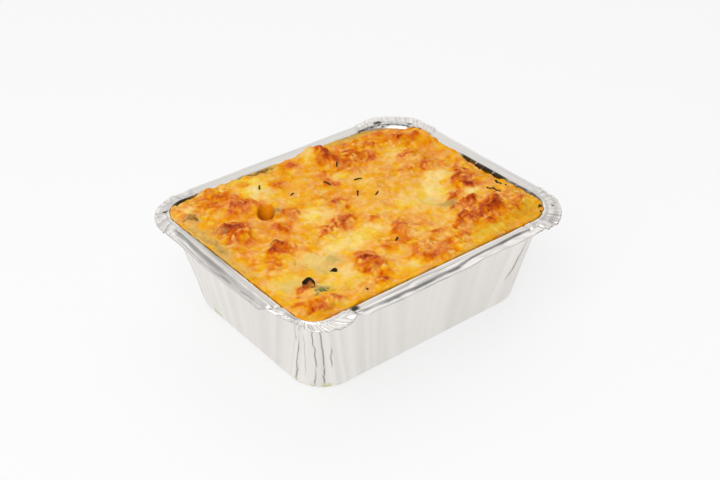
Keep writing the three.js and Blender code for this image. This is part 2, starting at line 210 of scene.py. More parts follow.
rim_points = outline(0, np.full(4, RIM_RADIUS))
steps_round = np.linalg.norm(np.roll(rim_points, -1, 0) - rim_points, axis=1)
around = np.concatenate([[0], np.cumsum(steps_round)[:-1]])  # distance round the rim
rim_distance = steps_round.sum()
from_corner = np.where(in_corner, 0, side_length * np.minimum(share, 1 - share))
nearest_corner = np.where(share > 0.5, corner_to, corner_from)
at_side_end = (share > 0.5).astype(int)
hem_end = HEM_ENDS[corner_from, at_side_end]
hem = smoothstep(hem_end, hem_end + HEM_STEP, from_corner)  # 1 where the edge is folded back as a lip
knuckle_height = KNUCKLES[corner_from, at_side_end] * ~in_corner


def swell(size, seed):
    """Soft waves round the rim, `size` apart and between -0.5 and 0.5."""
    return noise(around / size, 0, seed) - 0.5


step_start, step_width, step_drop = [np.full(share.shape, value) for value in FLAT_STEP]
lip_top = np.full(share.shape, FAR_LIP_TOP)
for side, marks in LIP_STEPS.items():
    here = corner_from == side
    lip_top[here] = NEAR_LIP_TOP
    for values, column in ((step_start, 1), (step_width, 2), (step_drop, 3)):
        values[here] = np.interp(along_side[here], [mark[0] for mark in marks],
                                 [mark[column] for mark in marks])
steep_side = (step_drop > 0.1).astype(float)
step_start += 0.5 * swell(7, 15) * steep_side
step_drop *= 1 + 0.5 * swell(5, 16) * steep_side
lip_low = lip_top - step_drop
ledge = mix(43.64, 43.35, steep_side)  # the flange's own height beside the lip's inner edge


def flange_rows():
    """The flange's section from the wall out to the rim, over the lip and back in to the opening.

    Each row has its inset and height where the edge is hemmed, the same where it is only crimped, and its
    share of the lip's own unevenness.
    """
    step_end = step_start - step_width
    under = lip_low - LIP_THICKNESS
    rows = [
        ((7.62, 42.2), (7.62, 42.2), 0),
        ((7.3, 42.65), (7.3, 42.7), 0),
        ((6.6, 42.8), (6.6, 42.92), 0),
        ((4.2, mix(42.8, under, 0.5)), (4.2, 42.95), 0),
        ((1.6, under + 0.1), (1.6, 42.9), 0),
        ((0.6, under), (0.7, 42.98), 0.05),
        ((0.15, under + 0.01), (0.15, 42.96), 0.1),
        ((0.02, under + 0.08), (0.02, 43.02), 0.1),
        ((0.0, lip_low - 0.16), (0.0, 43.1), 0.15),
        ((0.1, lip_low - 0.04), (0.1, 43.18), 0.2),
        ((0.42, lip_low + 0.04), (0.4, 43.26), 0.25),
        ((0.75, lip_low), (0.75, 43.28), 0.3),
    ]
    for part in (0.1, 0.25, 0.4, 0.55, 0.7, 0.85, 1):
        hemmed = (mix(0.75, step_end, part), lip_low - 0.05 + 0.13 * part)
        rows.append((hemmed, (0.75 + 1.65 * part, 43.27), 0.4 + 0.3 * part))
    for part in (0.25, 0.5, 0.75, 1):
        hemmed = (mix(step_end, step_start, part), mix(lip_low + 0.08, lip_top, part))
        rows.append((hemmed, (2.4 + 1.2 * part, 43.28), 0.7 + 0.3 * part))
    for part, rise in ((0.35, 0.04), (0.7, 0.04), (1, 0.0)):
        rows.append(((mix(step_start, 4.6, part), lip_top + rise), (3.6 + 0.6 * part, 43.3), 1))
    rows += [
        ((4.72, lip_top - 0.1), (4.45, 43.3), 0.9),
        ((4.74, mix(lip_top, ledge, 0.6)), (4.7, 43.3), 0.6),
        ((4.78, ledge + 0.03), (4.95, 43.3), 0.2),
        ((5.0, ledge), (5.15, 43.32), 0),
        ((5.35, ledge + 0.02), (5.4, 43.37), 0),
        ((5.75, np.maximum(43.5, ledge + 0.05)), (5.75, 43.52), 0),
        ((6.15, np.maximum(43.69, ledge + 0.1)), (6.15, 43.68), 0),
        ((6.55, 43.78), (6.55, 43.76), 0),
        ((7.0, 43.72), (7.0, 43.72), 0),
        ((7.4, 43.45), (7.4, 43.45), 0),
        ((7.7, 43.0), (7.7, 43.0), 0),
        ((7.85, 42.5), (7.85, 42.5), 0),
    ]
    return rows


def pleats(inset):
    """The sharp lines between the folds of a crimped corner, from 0 to 1."""
    place = (around + FOLD_LEAN * inset) / CRIMP_SPACING[nearest_corner]
    nearest = np.floor(place + 0.5)
    away = (place - nearest + 0.5 * (lattice(nearest, 0, 37) - 0.5)) * CRIMP_SPACING[nearest_corner]
    return np.exp(-(away / PLEAT_WIDTH) ** 2) * (0.3 + 0.7 * lattice(nearest, 1, 37)) * (1 - hem)


def from_far_fold(inset):
    """How far the flange lies outside the sharp fold along the far corner."""
    ragged = 0.6 * crumple(around, 0, 2.4, 38) + 0.3 * crumple(around, inset, 1.1, 46)
    return FAR_FOLD_INSET + ragged - inset


def pressed(points, marks):
    """How far each point is pushed by marks that each have a place, reach and depth."""
    return sum(depth * (1 - smoothstep(0.2, 1, np.hypot(*(points - place).T) / reach))
               for place, reach, depth in marks)


def wandering_inset(inset):
    """How far in the fine lines lie that the folding drew out along the lips."""
    return inset + 0.9 * noise(around / 13, 0, 39)


def flange_lift(inset, lip, points):
    """How far the flange is bent up or down at each station, `inset` in from the rim."""
    edge = 1 - 0.9 * smoothstep(0, 6.8, inset)
    crimped_edge = 1 - 0.85 * smoothstep(2.5, 7.6, inset)
    outwards = np.clip(1 - inset / RIDGE_INSET, 0, 1)
    skewed = around + FOLD_LEAN * inset
    crimps = folds(skewed / CRIMP_SPACING[nearest_corner], 21) * CRIMP_HEIGHT[nearest_corner]
    crimps -= pleats(inset) * PLEAT_DEPTH[nearest_corner]
    crumples = crumple(around, inset, 1.9, 22) * CRUMPLE_HEIGHT[nearest_corner]
    skirt = SKIRT_DROP[nearest_corner] * outwards
    crest = np.exp(-((from_corner - hem_end + 0.6 - 0.15 * inset) / 1.5) ** 2)
    notch = np.exp(-((from_corner - hem_end - 2.3) / 0.7) ** 2) * smoothstep(2, 3.4, inset)
    ends = knuckle_height * (0.7 * crest - 0.8 * notch * steep_side)
    ends += 0.75 * crumple(around, inset, 1.5, 27) * knuckle_height * np.exp(-((from_corner - 3.5) / 3) ** 2)
    lip_wave = 0.35 * swell(11, 24) * lip
    lip_creases = 0.14 * folds(skewed / 4.3, 25) * (0.3 + lip) * (0.35 + 0.65 * steep_side)
    lip_creases += 0.2 * crumple(around, 1.6 * inset, 2.6, 23) * lip * steep_side
    twist = 0.45 * (noise((around + 2 * inset) / 4.5, 0, 29) - 0.5) * lip * steep_side
    sag = 0.4 * (noise(around / 37, 0, 26) - 0.6)
    tilt = FAR_LIP_TILT * np.clip(RIDGE_INSET - inset, 0, RIDGE_INSET) * (1 - steep_side)
    streaks = folds(wandering_inset(inset) / 0.75 + around / 70, 40) * lip * mix(0.02, 0.09, steep_side)
    streaks = streaks * np.where(corner_from == LEFT, 2.6, 1)
    hemmed = lip_wave + lip_creases + twist + streaks + sag * (1 - inset / FLANGE_WIDTH)
    far_fold = FAR_FOLD_HEIGHT * smoothstep(-0.25, 0.25, from_far_fold(inset)) * (nearest_corner == FAR)
    crimped = (crimps + crumples) * crimped_edge - skirt + far_fold
    lift = mix(crimped, hemmed * edge - tilt, hem) + ends * np.sqrt(edge)
    bead = 0.3 * np.exp(-((inset - 0.35) / 0.3) ** 2) * (1 - hem)
    return lift + bead - pressed(points, DROOPS) * (1 - inset / FLANGE_WIDTH).clip(0, 1)


def flange_row(hemmed, crimped, lip):
    """One ring of points round the flange, from a row of its section."""
    inset = mix(crimped[0], hemmed[0], hem)
    height = mix(crimped[1], hemmed[1], hem)
    in_row = np.clip(inset / FLANGE_WIDTH, 0, 1)
    radii = mix(RIM_RADIUS, OPENING_RADII, np.mean(in_row))
    wobble = 0.3 * swell(9, 28) - pressed(rim_points, TUCKS)
    points = outline(inset, radii, wobble * (1 - in_row))
    return np.column_stack([points, height + flange_lift(inset, lip * hem, points)])


CORNER_REACH = 16  # how far the corners' narrow flutes spread along the walls
near_corner = np.exp(-(from_corner / CORNER_REACH) ** 2)


def flutes(place, z, nearness):
    """The shallow flutes down the walls, between -1 and 1: broad ones, and narrow ones near a corner."""
    lean = 0.12 * (WALL_TOP - z)
    broad = 2 * noise((place + 0.3 * lean) / 5.2, 0 * place, 31) - 1
    narrow = 2 * noise((place + lean) / 2.1, 0 * place, 32) - 1
    return mix(0.6 * broad + 0.2 * narrow, 0.3 * broad + 0.9 * narrow, nearness)


def creases(place, z):
    """How deep the sharp creases cut in at a distance `place` round the rim and a height `z`."""
    depth = 0 * place
    for corner, top_heading, foot_heading, top, foot, strength in CREASES:
        turned = mix(foot_heading, top_heading, (z - foot) / (top - foot)) - 90 * corner
        start = around[np.argmax(corner_from == corner)]
        wander = 0.9 * folds(z / 5 + foot_heading, 34) + 0.5 * folds(z / 2.1 + foot_heading, 35)
        away = place - start - math.pi / 180 * turned * RIM_RADIUS - wander
        away = (away + rim_distance / 2) % rim_distance - rim_distance / 2
        shown = smoothstep(foot - 3, foot + 2, z) * (1 - smoothstep(top - 2, top + 2, z))
        shown = shown * smoothstep(0.1, 0.45, noise(z / 7 + foot_heading, 0 * z, 36))
        profile = np.exp(-(away / 0.5) ** 2) - 0.4 * np.exp(-((away - 1.4) / 1) ** 2)
        depth = depth + 0.5 * strength * shown * profile
    return depth


def wall_push(z):
    """Flutes, creases and dents that move the wall in or out, at height `z`."""
    dents = noise(around / 19, np.full_like(around, z / 15), 33) - 0.5
    fluted = 0.28 * mix(0.6, 1, near_corner) * flutes(around, z, near_corner)
    return (fluted + 0.45 * dents) * smoothstep(0.5, 9, z) - creases(around, np.full_like(around, z))


def wall_row(z, inwards):
    """One ring of points round the wall's outer face, or `inwards` of it."""
    height = z / WALL_TOP
    inset = mix(BASE_INSET, FLANGE_WIDTH, height) + inwards
    radii = mix(BASE_RADIUS, OPENING_RADII, height) - inwards
    push = wall_push(z) * (1 - smoothstep(WALL_TOP - 4, WALL_TOP, z) * 0.7)
    return np.column_stack([outline(inset, radii, push), np.full_like(share, z)])


def base_edge_rows(floor, inwards, radius, angles):
    """The rings of the rounded edge between the base and the wall."""
    lean = math.atan2(BASE_INSET - FLANGE_WIDTH, WALL_TOP)
    joins_at = floor + radius * (1 - math.sin(lean))
    wall_inset = mix(BASE_INSET, FLANGE_WIDTH, joins_at / WALL_TOP) + inwards
    rows = []
    for angle in angles:
        turn = angle * (math.pi / 2 - lean)
        inset = wall_inset + radius * (math.cos(lean) - math.sin(turn))
        radii = mix(BASE_RADIUS, OPENING_RADII, joins_at / WALL_TOP) - (inset - wall_inset)
        z = floor + radius * (1 - math.cos(turn))
        points = outline(inset, radii - inwards, wall_push(joins_at) * angle)
        rows.append(np.column_stack([points, np.full_like(share, z)]))
    return rows


def skin(rings):
    """The points and faces of a closed body: each ring joined to the next and both ends capped."""
    count = len(rings[0])
    points = np.concatenate(rings + [rings[0].mean(0, keepdims=True), rings[-1].mean(0, keepdims=True)])
    here = np.arange(count)
    beyond = (here + 1) % count
    faces = []
    for ring in range(len(rings) - 1):
        low, high = ring * count, (ring + 1) * count
        faces += np.column_stack([low + here, low + beyond, high + beyond, high + here]).tolist()
    first, last = len(rings) * count, len(rings) * count + 1
    top = (len(rings) - 1) * count
    faces += np.column_stack([np.full(count, first), beyond, here]).tolist()
    faces += np.column_stack([np.full(count, last), top + here, top + beyond]).tolist()
    return points, faces


def new_piece(name, bodies):
    """One piece from bodies given as points in millimetres and faces."""
    points, faces = [], []
    for body_points, body_faces in bodies:
        start = sum(map(len, points))
        points.append(body_points)
        faces += [[start + corner for corner in face] for face in body_faces]
    mesh = bpy.data.meshes.new(name)
    mesh.from_pydata((np.concatenate(points) * MM).tolist(), [], faces)
    mesh.shade_smooth()
    piece = bpy.data.objects.new(name, mesh)
    bpy.context.scene.collection.objects.link(piece)
    return piece


def paint(piece, name, values):
    """Keeps one number for each point of the mesh, for the material to read."""
    layer = piece.data.attributes.new(name, "FLOAT", "POINT")
    layer.data.foreach_set("value", np.ascontiguousarray(values, dtype=np.float32))


outer_heights = np.linspace(4.5, 41, 20)
inner_heights = np.array([41.6, 40.6, 39.4, 38, 36, 33, 28, 20, 10])
edge_angles = np.linspace(0, 1, 6)
tray_rings = base_edge_rows(0, 0, BASE_EDGE_RADIUS, edge_angles)
tray_rings += [wall_row(z, 0) for z in outer_heights]
flange_starts = len(tray_rings)
tray_rings += [flange_row(*row) for row in flange_rows()]
inner_wall_starts = len(tray_rings) - 4  # the flange's last rows already turn down into it
tray_rings += [wall_row(z, FOIL) for z in inner_heights]
tray_rings += base_edge_rows(FOIL, FOIL, BASE_EDGE_RADIUS - FOIL, edge_angles[::-2])
foil_tray = new_piece("tray_of_foil", [skin(tray_rings)])

tray_points = np.concatenate(tray_rings)
tray_x, tray_y, tray_z = tray_points.T
ring_of_point = np.repeat(np.arange(len(tray_rings)), len(share))
place_round = np.tile(around, len(tray_rings))
on_inner_wall = ring_of_point >= inner_wall_starts
on_outer_wall = ring_of_point < flange_starts

# Sauce that boiled up and burned onto the inner wall, where the filling has since shrunk away from it:
# place, reach and strength.
BURNED_ON = [
    ((65, -7), 20, 1.0),
    ((64.5, -34), 14, 0.85),
    ((35, 53), 16, 0.5),
    ((-17, 53), 13, 0.5),
    ((-54, 50), 12, 1.0),
]
burned = np.zeros(len(tray_points))
for (x, y), reach, strength in BURNED_ON:
    away = np.hypot(tray_x - x, tray_y - y) / reach
    burned = np.maximum(burned, strength * (1 - smoothstep(0.6, 1, away)))
patches = noise(tray_x / 1.6, tray_y / 1.6 + 0.4 * tray_z, 41)
burned = burned * smoothstep(-0.05, 0.2, patches) * on_inner_wall

# Drops of oil that dried at the foot of the walls: place, height and reach.
OIL_DROPS = [
    ((-57.3, -33.9), 2.5, 2.4), ((-54.5, -39.2), 1.8, 1.8), ((-50.5, -43.0), 1.8, 2.8),
    ((-57.5, 24.5), 3, 3.2), ((-57.5, 21.5), 2, 3),
]
stained = np.zeros(len(tray_points))
for (x, y), z, reach in OIL_DROPS:
    away = np.hypot(np.hypot(tray_x - x, tray_y - y), (tray_z - z) * 1.2) / reach
    spots = noise(place_round / 1.3, tray_z / 1.3, 44)
    stained = np.maximum(stained, (1 - smoothstep(0.4, 1, away)) * smoothstep(0.2, 0.5, spots))

# Painted shade: the sharp creases and folds, the lip's steps and edges, the lines drawn out along the lips,
# the notches and the walls' creases are darkened in the foil's colour, because two faces of foil that
# almost touch catch little light.
fold_shade_marks = []
for hemmed, crimped, _ in flange_rows():
    inset = mix(crimped[0], hemmed[0], hem)
    mark = 0.4 * pleats(inset) * (1 - smoothstep(5, 7, inset))
    thick = 0.25 + 0.45 * smoothstep(0.5, 0.9, noise(around / 4, 0, 45))
    far_fold_shade = np.exp(-(from_far_fold(inset) / thick) ** 2) * (nearest_corner == FAR) * (1 - hem)
    under_lip_shade = np.exp(-((inset - 4.62) / 0.2) ** 2) * smoothstep(0.15, 0.6, noise(around / 8, 0, 47))
    under_step_shade = np.exp(-((inset - step_start + step_width) / 0.35) ** 2)
    under_step_shade = under_step_shade * smoothstep(0.35, 0.8, noise(around / 6, 0, 48))
    drawn_lines = noise(wandering_inset(inset) / 0.5, around / 40, 51)
    lip_shade = np.maximum(0.6 * under_lip_shade + 0.55 * under_step_shade, 0.4 * smoothstep(0.55, 0.85, drawn_lines))
    lip_shade = lip_shade * hem * steep_side
    fold_shade_marks.append(np.maximum(mark, np.maximum(1.2 * far_fold_shade, lip_shade)))
# The painted shade of the flange's rows, of the notches and of the walls' creases, for every point.
marks = np.zeros(len(tray_points))
marks[flange_starts * len(share):(flange_starts + len(fold_shade_marks)) * len(share)] = np.concatenate(fold_shade_marks)
for (x, y), reach in SHADOWED_NOTCHES:
    away = np.hypot(tray_x - x, tray_y - y) / reach + 0.25 * crumple(tray_x, tray_y, 1.1, 49)
    marks = np.maximum(marks, (1 - smoothstep(0.5, 1.2, away)) * (tray_z > 43))
marks = np.maximum(marks, np.clip(creases(place_round, tray_z) / 0.3, 0, 0.7) * on_outer_wall)
# Painted shading: the outer walls' colour darkens and lightens with their flutes.
fluted = flutes(place_round, tray_z, np.tile(near_corner, len(tray_rings)))
for name, values in (
    ("burned", burned),
    ("stained", stained * on_outer_wall),
    ("flute_shading", fluted * on_outer_wall),
    ("crease_shade", np.clip(marks, 0, 1)),
):
    paint(foil_tray, name, np.append(values, [0, 0]))


def fill_in(node, inputs):
    """Gives a shader node its inputs, as numbers or as links."""
    for name, value in inputs.items():
        if isinstance(value, bpy.types.NodeSocket):
            node.id_data.links.new(value, node.inputs[name])
        else:
            node.inputs[name].default_value = value


def add_node(tree, kind, inputs, **settings):
    node = tree.nodes.new(kind)
    for name, value in settings.items():
        setattr(node, name, value)
    fill_in(node, inputs)
    return node


def blended(tree, factor, low, high, way="MIX"):
    """A colour between two others."""
    node = add_node(tree, "ShaderNodeMix", {0: factor, 6: low, 7: high}, data_type="RGBA", blend_type=way)
    return node.outputs[2]


def worked_out(tree, operation, *values):
    """A sum done in the material, such as MULTIPLY."""
    return add_node(tree, "ShaderNodeMath", dict(enumerate(values)), operation=operation).outputs[0]


def ranged(tree, value, low, high, start=-1.0, end=1.0):
    """Turns a value between `start` and `end` into one between `low` and `high`."""
    return add_node(tree, "ShaderNodeMapRange", {
        "Value": value, "From Min": start, "From Max": end, "To Min": low, "To Max": high}).outputs[0]


def kept(tree, name):
    """A number that was kept for each point of the mesh."""
    return add_node(tree, "ShaderNodeAttribute", {}, attribute_name=name).outputs["Fac"]


def new_material(name):
    """A material with a bare Principled shader, and that shader."""
    material = bpy.data.materials.new(name)
    material.use_nodes = True
    return material, material.node_tree, material.node_tree.nodes["Principled BSDF"]


def srgb(red, green, blue):
    """A colour as it looks on a screen, from 0 to 255, in the shader's own units."""
    return tuple((value / 255) ** 2.2 for value in (red, green, blue)) + (1,)


def unevenness_group():
    """Fine irregularity at a given size in metres: a tone between -1 and 1, and a height for bumps."""
    group = bpy.data.node_groups.new("unevenness", "ShaderNodeTree")
    group.interface.new_socket("Size", in_out="INPUT", socket_type="NodeSocketFloat")
    group.interface.new_socket("Stretch", in_out="INPUT", socket_type="NodeSocketVector")
    group.interface.new_socket("Tone", in_out="OUTPUT", socket_type="NodeSocketFloat")
    group.interface.new_socket("Height", in_out="OUTPUT", socket_type="NodeSocketFloat")
    given = add_node(group, "NodeGroupInput", {})
    place = add_node(group, "ShaderNodeTexCoord", {}).outputs["Object"]
    stretched = add_node(group, "ShaderNodeVectorMath", {0: place, 1: given.outputs["Stretch"]},
                         operation="MULTIPLY")
    grain = add_node(group, "ShaderNodeTexNoise", {
        "Vector": stretched.outputs[0], "Scale": worked_out(group, "DIVIDE", 1.0, given.outputs["Size"]),
        "Detail": 3.0, "Roughness": 0.55})
    tone = ranged(group, grain.outputs["Fac"], -1.0, 1.0, 0.3, 0.7)
    add_node(group, "NodeGroupOutput", {"Tone": tone, "Height": grain.outputs["Fac"]})
    return group


UNEVENNESS = unevenness_group()


def uneven_tone(tree, size):
    node = add_node(tree, "ShaderNodeGroup", {"Size": size, "Stretch": (1, 1, 1)}, node_tree=UNEVENNESS)
    return node.outputs["Tone"]


def bumps(tree, size, strength, distance, stretch=(1, 1, 1), over=None):
    """The direction that the surface faces once fine bumps lie over it."""
    node = add_node(tree, "ShaderNodeGroup", {"Size": size, "Stretch": stretch}, node_tree=UNEVENNESS)
    inputs = {"Height": node.outputs["Height"], "Strength": strength, "Distance": distance}
    if over:
        inputs["Normal"] = over
    return add_node(tree, "ShaderNodeBump", inputs).outputs[0]


BRIGHT_FOIL = srgb(244, 241, 237)
SHADED_FLUTE_FOIL = srgb(222, 218, 213)
# Painted shade: the colour that the creases and folds are darkened towards.
CREASE_SHADE_FOIL = srgb(70, 68, 60)
BURNED_COLOUR = srgb(34, 26, 10)
BROWNED_SAUCE = srgb(122, 88, 24)
OIL_STAIN = srgb(206, 206, 150)
ROLLING_LINES = (1, 1, 0.05)  # the sheet was rolled, which left fine lines drawn out along it
foil_finish, tree, shader = new_material("bright_foil")
# Painted shading: the outer walls' colour darkens and lightens with their flutes.
flute_shading_share = ranged(tree, kept(tree, "flute_shading"), 0.1, 0.9)
flute_shaded_foil = blended(tree, flute_shading_share, BRIGHT_FOIL, SHADED_FLUTE_FOIL)
# Painted shade in the creases and folds.
crease_shaded_foil = blended(tree, kept(tree, "crease_shade"), flute_shaded_foil, CREASE_SHADE_FOIL)
stained_foil = blended(tree, kept(tree, "stained"), crease_shaded_foil, OIL_STAIN)
burned_here = kept(tree, "burned")
burn_depth = ranged(tree, uneven_tone(tree, 0.004), 0.0, 1.0, -0.2, 1.0)
burned_sauce = blended(tree, burn_depth, BURNED_COLOUR, BROWNED_SAUCE)
foil_roughness = ranged(tree, uneven_tone(tree, 0.009), 0.3, 0.4)
roughness = add_node(tree, "ShaderNodeMix", {"Factor": burned_here, "A": foil_roughness, "B": 0.5})
fill_in(shader, {
    "Base Color": blended(tree, burned_here, stained_foil, burned_sauce),
    "Roughness": roughness.outputs[0],
    "Metallic": worked_out(tree, "SUBTRACT", 1.0, burned_here),
    "Normal": bumps(tree, 0.0035, 0.04, 0.0004, over=bumps(tree, 0.0005, 0.07, 0.00005, ROLLING_LINES)),
})
foil_tray.data.materials.append(foil_finish)

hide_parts("foil_tray")
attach(foil_tray, "root")


# ---- Bake ----
# The filling is poured in hot and topped with grated cheese, which melts, runs together and browns in the
# oven. It is one mass: strands that kept their shape, blisters that rose, and hollows where sauce shows.
CELL = 0.35  # size of one cell of the maps that the crust is worked out on
CRUST_INSET = FLANGE_WIDTH + FOIL + 0.2
map_length = RIM_LENGTH - 2 * FLANGE_WIDTH
map_width = RIM_WIDTH - 2 * FLANGE_WIDTH
map_x, map_y = np.meshgrid(
    np.arange(-map_length / 2, map_length / 2, CELL), np.arange(-map_width / 2, map_width / 2, CELL))


def blurred(field, radius):
    """The map with every value spread over `radius` millimetres."""
    reach = max(1, math.ceil(2.5 * radius / CELL))
    weights = np.exp(-0.5 * (np.arange(-reach, reach + 1) * CELL / radius) ** 2)
    weights /= weights.sum()
    for axis in (0, 1):
        pads = [(0, 0), (0, 0)]
        pads[axis] = (reach, reach)
        padded = np.pad(field, pads, mode="edge")
        field = sum(weight * np.take(padded, range(i, i + field.shape[axis]), axis)
                    for i, weight in enumerate(weights))
    return field


def sampled(field, x, y):
    """The map's value at any place, between its cells too."""
    column = np.clip((x - map_x[0, 0]) / CELL, 0, field.shape[1] - 1.001)
    row = np.clip((y - map_y[0, 0]) / CELL, 0, field.shape[0] - 1.001)
    i, j = column.astype(int), row.astype(int)
    low = mix(field[j, i], field[j, i + 1], column - i)
    high = mix(field[j + 1, i], field[j + 1, i + 1], column - i)
    return mix(low, high, row - j)


CRUST_LEVEL = 43.3
LOWEST_CRUST = 30  # anything lower isn't the crust


def crust_of_solid():
    """The height of the plain solid's crust, seen from straight above in every second cell."""
    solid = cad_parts["bake"].data
    points = [vertex.co.copy() for vertex in solid.vertices]
    tree = BVHTree.FromPolygons(points, [polygon.vertices[:] for polygon in solid.polygons])
    heights = np.full(map_x.shape, CRUST_LEVEL)
    for half_row, half_column in np.ndindex(map_x.shape[0] // 2, map_x.shape[1] // 2):
        row, column = 2 * half_row, 2 * half_column
        start = Vector((map_x[row, column], map_y[row, column], 2 * CRUST_LEVEL)) * MM
        hit = tree.ray_cast(start, Vector((0, 0, -1)))[0]
        if hit and hit.z > LOWEST_CRUST * MM:
            heights[row:row + 2, column:column + 2] = hit.z / MM
    return heights


# The solid's pocket for the mushroom slice is filled here, as is its pit, which is cut again more sharply.
solid_crust = crust_of_solid()
pocket_low, pocket_high = [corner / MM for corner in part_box("mushroom_slice")]
pocket = (pocket_low + pocket_high) / 2
PIT_PLACE, PIT_TURN = (-31.9, 22.3), 52
PIT_LENGTH, PIT_WIDTH, PIT_DEPTH = 14.0, 7.6, 4.4
for (x, y), reach in (((pocket.x, pocket.y), 7), (PIT_PLACE, 8.5)):
    away = np.hypot(map_x - x, map_y - y)
    filled = away < reach
    solid_crust = np.where(filled, np.median(solid_crust[(away < reach + 1.5) & ~filled]), solid_crust)
crust = blurred(solid_crust, 0.75)


def turned(x, y, degrees):
    """How far along a line that is turned by `degrees` each place lies, and how far to its left."""
    turn = math.radians(degrees)
    return x * math.cos(turn) + y * math.sin(turn), y * math.cos(turn) - x * math.sin(turn)


pit_x, pit_y = map_x - PIT_PLACE[0], map_y - PIT_PLACE[1]
pit_along, pit_across = turned(pit_x, pit_y, PIT_TURN)
pit_away = np.hypot(pit_along / (PIT_LENGTH / 2), pit_across / (PIT_WIDTH / 2))
pit_away += 0.08 * (noise(map_x / 2, map_y / 2, 50) - 0.5)
pit_bowl = PIT_DEPTH * np.clip(1 - pit_away ** 2, 0, 1) ** 0.95
pit_rim = 0.35 * np.exp(-((pit_away - 1.15) / 0.15) ** 2)

# The crust climbs onto the foil's ridge at its edge, except where it has shrunk from the wall: place and
# reach of each such stretch, and how far the edge sank there.
SHRUNK_EDGES = [
    ((65, -6), 17, 0.65), ((65, -32), 13, 0.0), ((57, 50), 14, 0.5), ((-53, 52), 7, 0.0),
    ((-64, -48), 12, 0.25),
]
EDGE_CLIMB = 0.85
shrunk = np.zeros_like(crust)
sunk = np.zeros_like(crust)
for (x, y), reach, depth in SHRUNK_EDGES:
    here = 1 - smoothstep(0.6, 1, np.hypot(map_x - x, map_y - y) / reach)
    shrunk = np.maximum(shrunk, here)
    sunk += depth * here


def corner_at(x, y):
    """The tray's corner that lies nearest to each place."""
    return np.where(y > 0, np.where(x > 0, FAR, LEFT), np.where(x > 0, RIGHT, NEAR))


cell_radius = OPENING_RADII[corner_at(map_x, map_y)]
beyond_x = np.abs(map_x) - (map_length / 2 - cell_radius)
beyond_y = np.abs(map_y) - (map_width / 2 - cell_radius)
from_edge = cell_radius - np.where((beyond_x > 0) & (beyond_y > 0), np.hypot(beyond_x, beyond_y),
                                   np.maximum(beyond_x, beyond_y))
crust += (EDGE_CLIMB * (1 - shrunk) - sunk) * np.exp(-(from_edge / 2.4) ** 2)

# How brown the top is, from 0 for cream to 1 for nearly black: first broad fields, then the spots where
# blisters caught the heat. Each has its place, length, width, turn in degrees and level.
GOLDEN = 0.4
FIELDS = [
    (-44, 43, 30, 18, -15, 0.57), (-56, -8, 14, 16, 0, 0.43), (-54, 12, 15, 26, 0, 0.54),
    (48, 43, 40, 16, -12, 0.55), (24, 37, 28, 17, 0, 0.69), (28, 48, 14, 8, 0, 0.6),
    (0, 46, 15, 12, 0, 0.48), (50, 18, 26, 24, 0, 0.48), (55, -10, 14, 20, 0, 0.58),
    (41, -34, 30, 13, 10, 0.58), (4, -44, 28, 13, 0, 0.57), (-54, -42, 18, 10, 0, 0.46),
    (5, -24, 22, 13, 30, 0.57), (-13, -4, 22, 11, 5, 0.56), (-5, 15, 14, 18, 0, 0.49),
    (-38, 6, 18, 22, 0, 0.5), (-42, -4, 14, 13, 0, 0.5), (-22, -35, 15, 15, 0, 0.57),
    (-25, -46, 14, 8, 0, 0.54), (-38, 29, 16, 14, 0, 0.6), (-26, 13, 13, 16, 0, 0.55),
    (60, -29, 12, 12, 0, 0.5), (-60, 40, 6, 8, 0, 0.6), (24, -42, 14, 9, 0, 0.48),
    (-5, -32, 12, 7, 0, 0.58), (54, 32, 12, 9, 0, 0.56), (4, 25, 8, 8, 0, 0.55),
    (-28, 43, 12, 22, 10, 0.14), (-14, 38, 12, 12, 0, 0.43), (-17, 8, 15, 14, 0, 0.08),
    (-20, -18, 38, 13, 0, 0.14), (28, -10, 32, 18, 0, 0.12), (25, -24, 9, 15, 0, 0.3),
    (4, 0, 12, 12, 0, 0.3), (14, 17, 18, 9, 0, 0.28), (41, 29, 14, 11, 0, 0.22), (10, 27, 8, 5, 20, 0.25),
    (43, 0, 15, 10, 0, 0.08), (-36, -34, 18, 17, 0, 0.18), (-56, -26, 14, 11, 0, 0.26),
    (-57, 44, 6, 5, 0, 0.2), (-10, -46, 10, 8, 0, 0.25), (-44, -16, 16, 9, 0, 0.3),
    (7.5, 47, 6, 9, 20, 0.2), (-46.6, -34.4, 4, 3, 0, 0.0), (57, -44, 14, 12, 0, 0.36),
    (-60, -29, 9, 12, 0, 0.2), (-24, 41, 18, 17, 10, 0.1), (-37, -19, 14, 12, 0, 0.14),
    (46, -21, 8, 5, 20, 0.1), (11, -39, 9, 6, 0, 0.32), (-5, -15, 10, 9, 0, 0.2), (65, 6, 4, 6, 0, 0.12),
    (36, -8, 10, 9, 0, 0.1), (29, -48, 12, 7, 0, 0.28), (-60, -48, 9, 6, 0, 0.35), (-52, 0, 8, 7, 0, 0.34),
    (8, 33, 13, 9, 0, 0.56), (20, 26, 14, 7, 0, 0.49), (26, 17, 13, 16, 0, 0.48), (34, 5, 11, 11, 0, 0.4),
    (35, -46, 11, 7, 0, 0.14), (25, -4, 9, 8, 0, 0.24), (36, -24, 12, 9, 30, 0.62),
    (-57, -35, 9, 9, 0, 0.42), (52, -15, 10, 9, 0, 0.6),
]
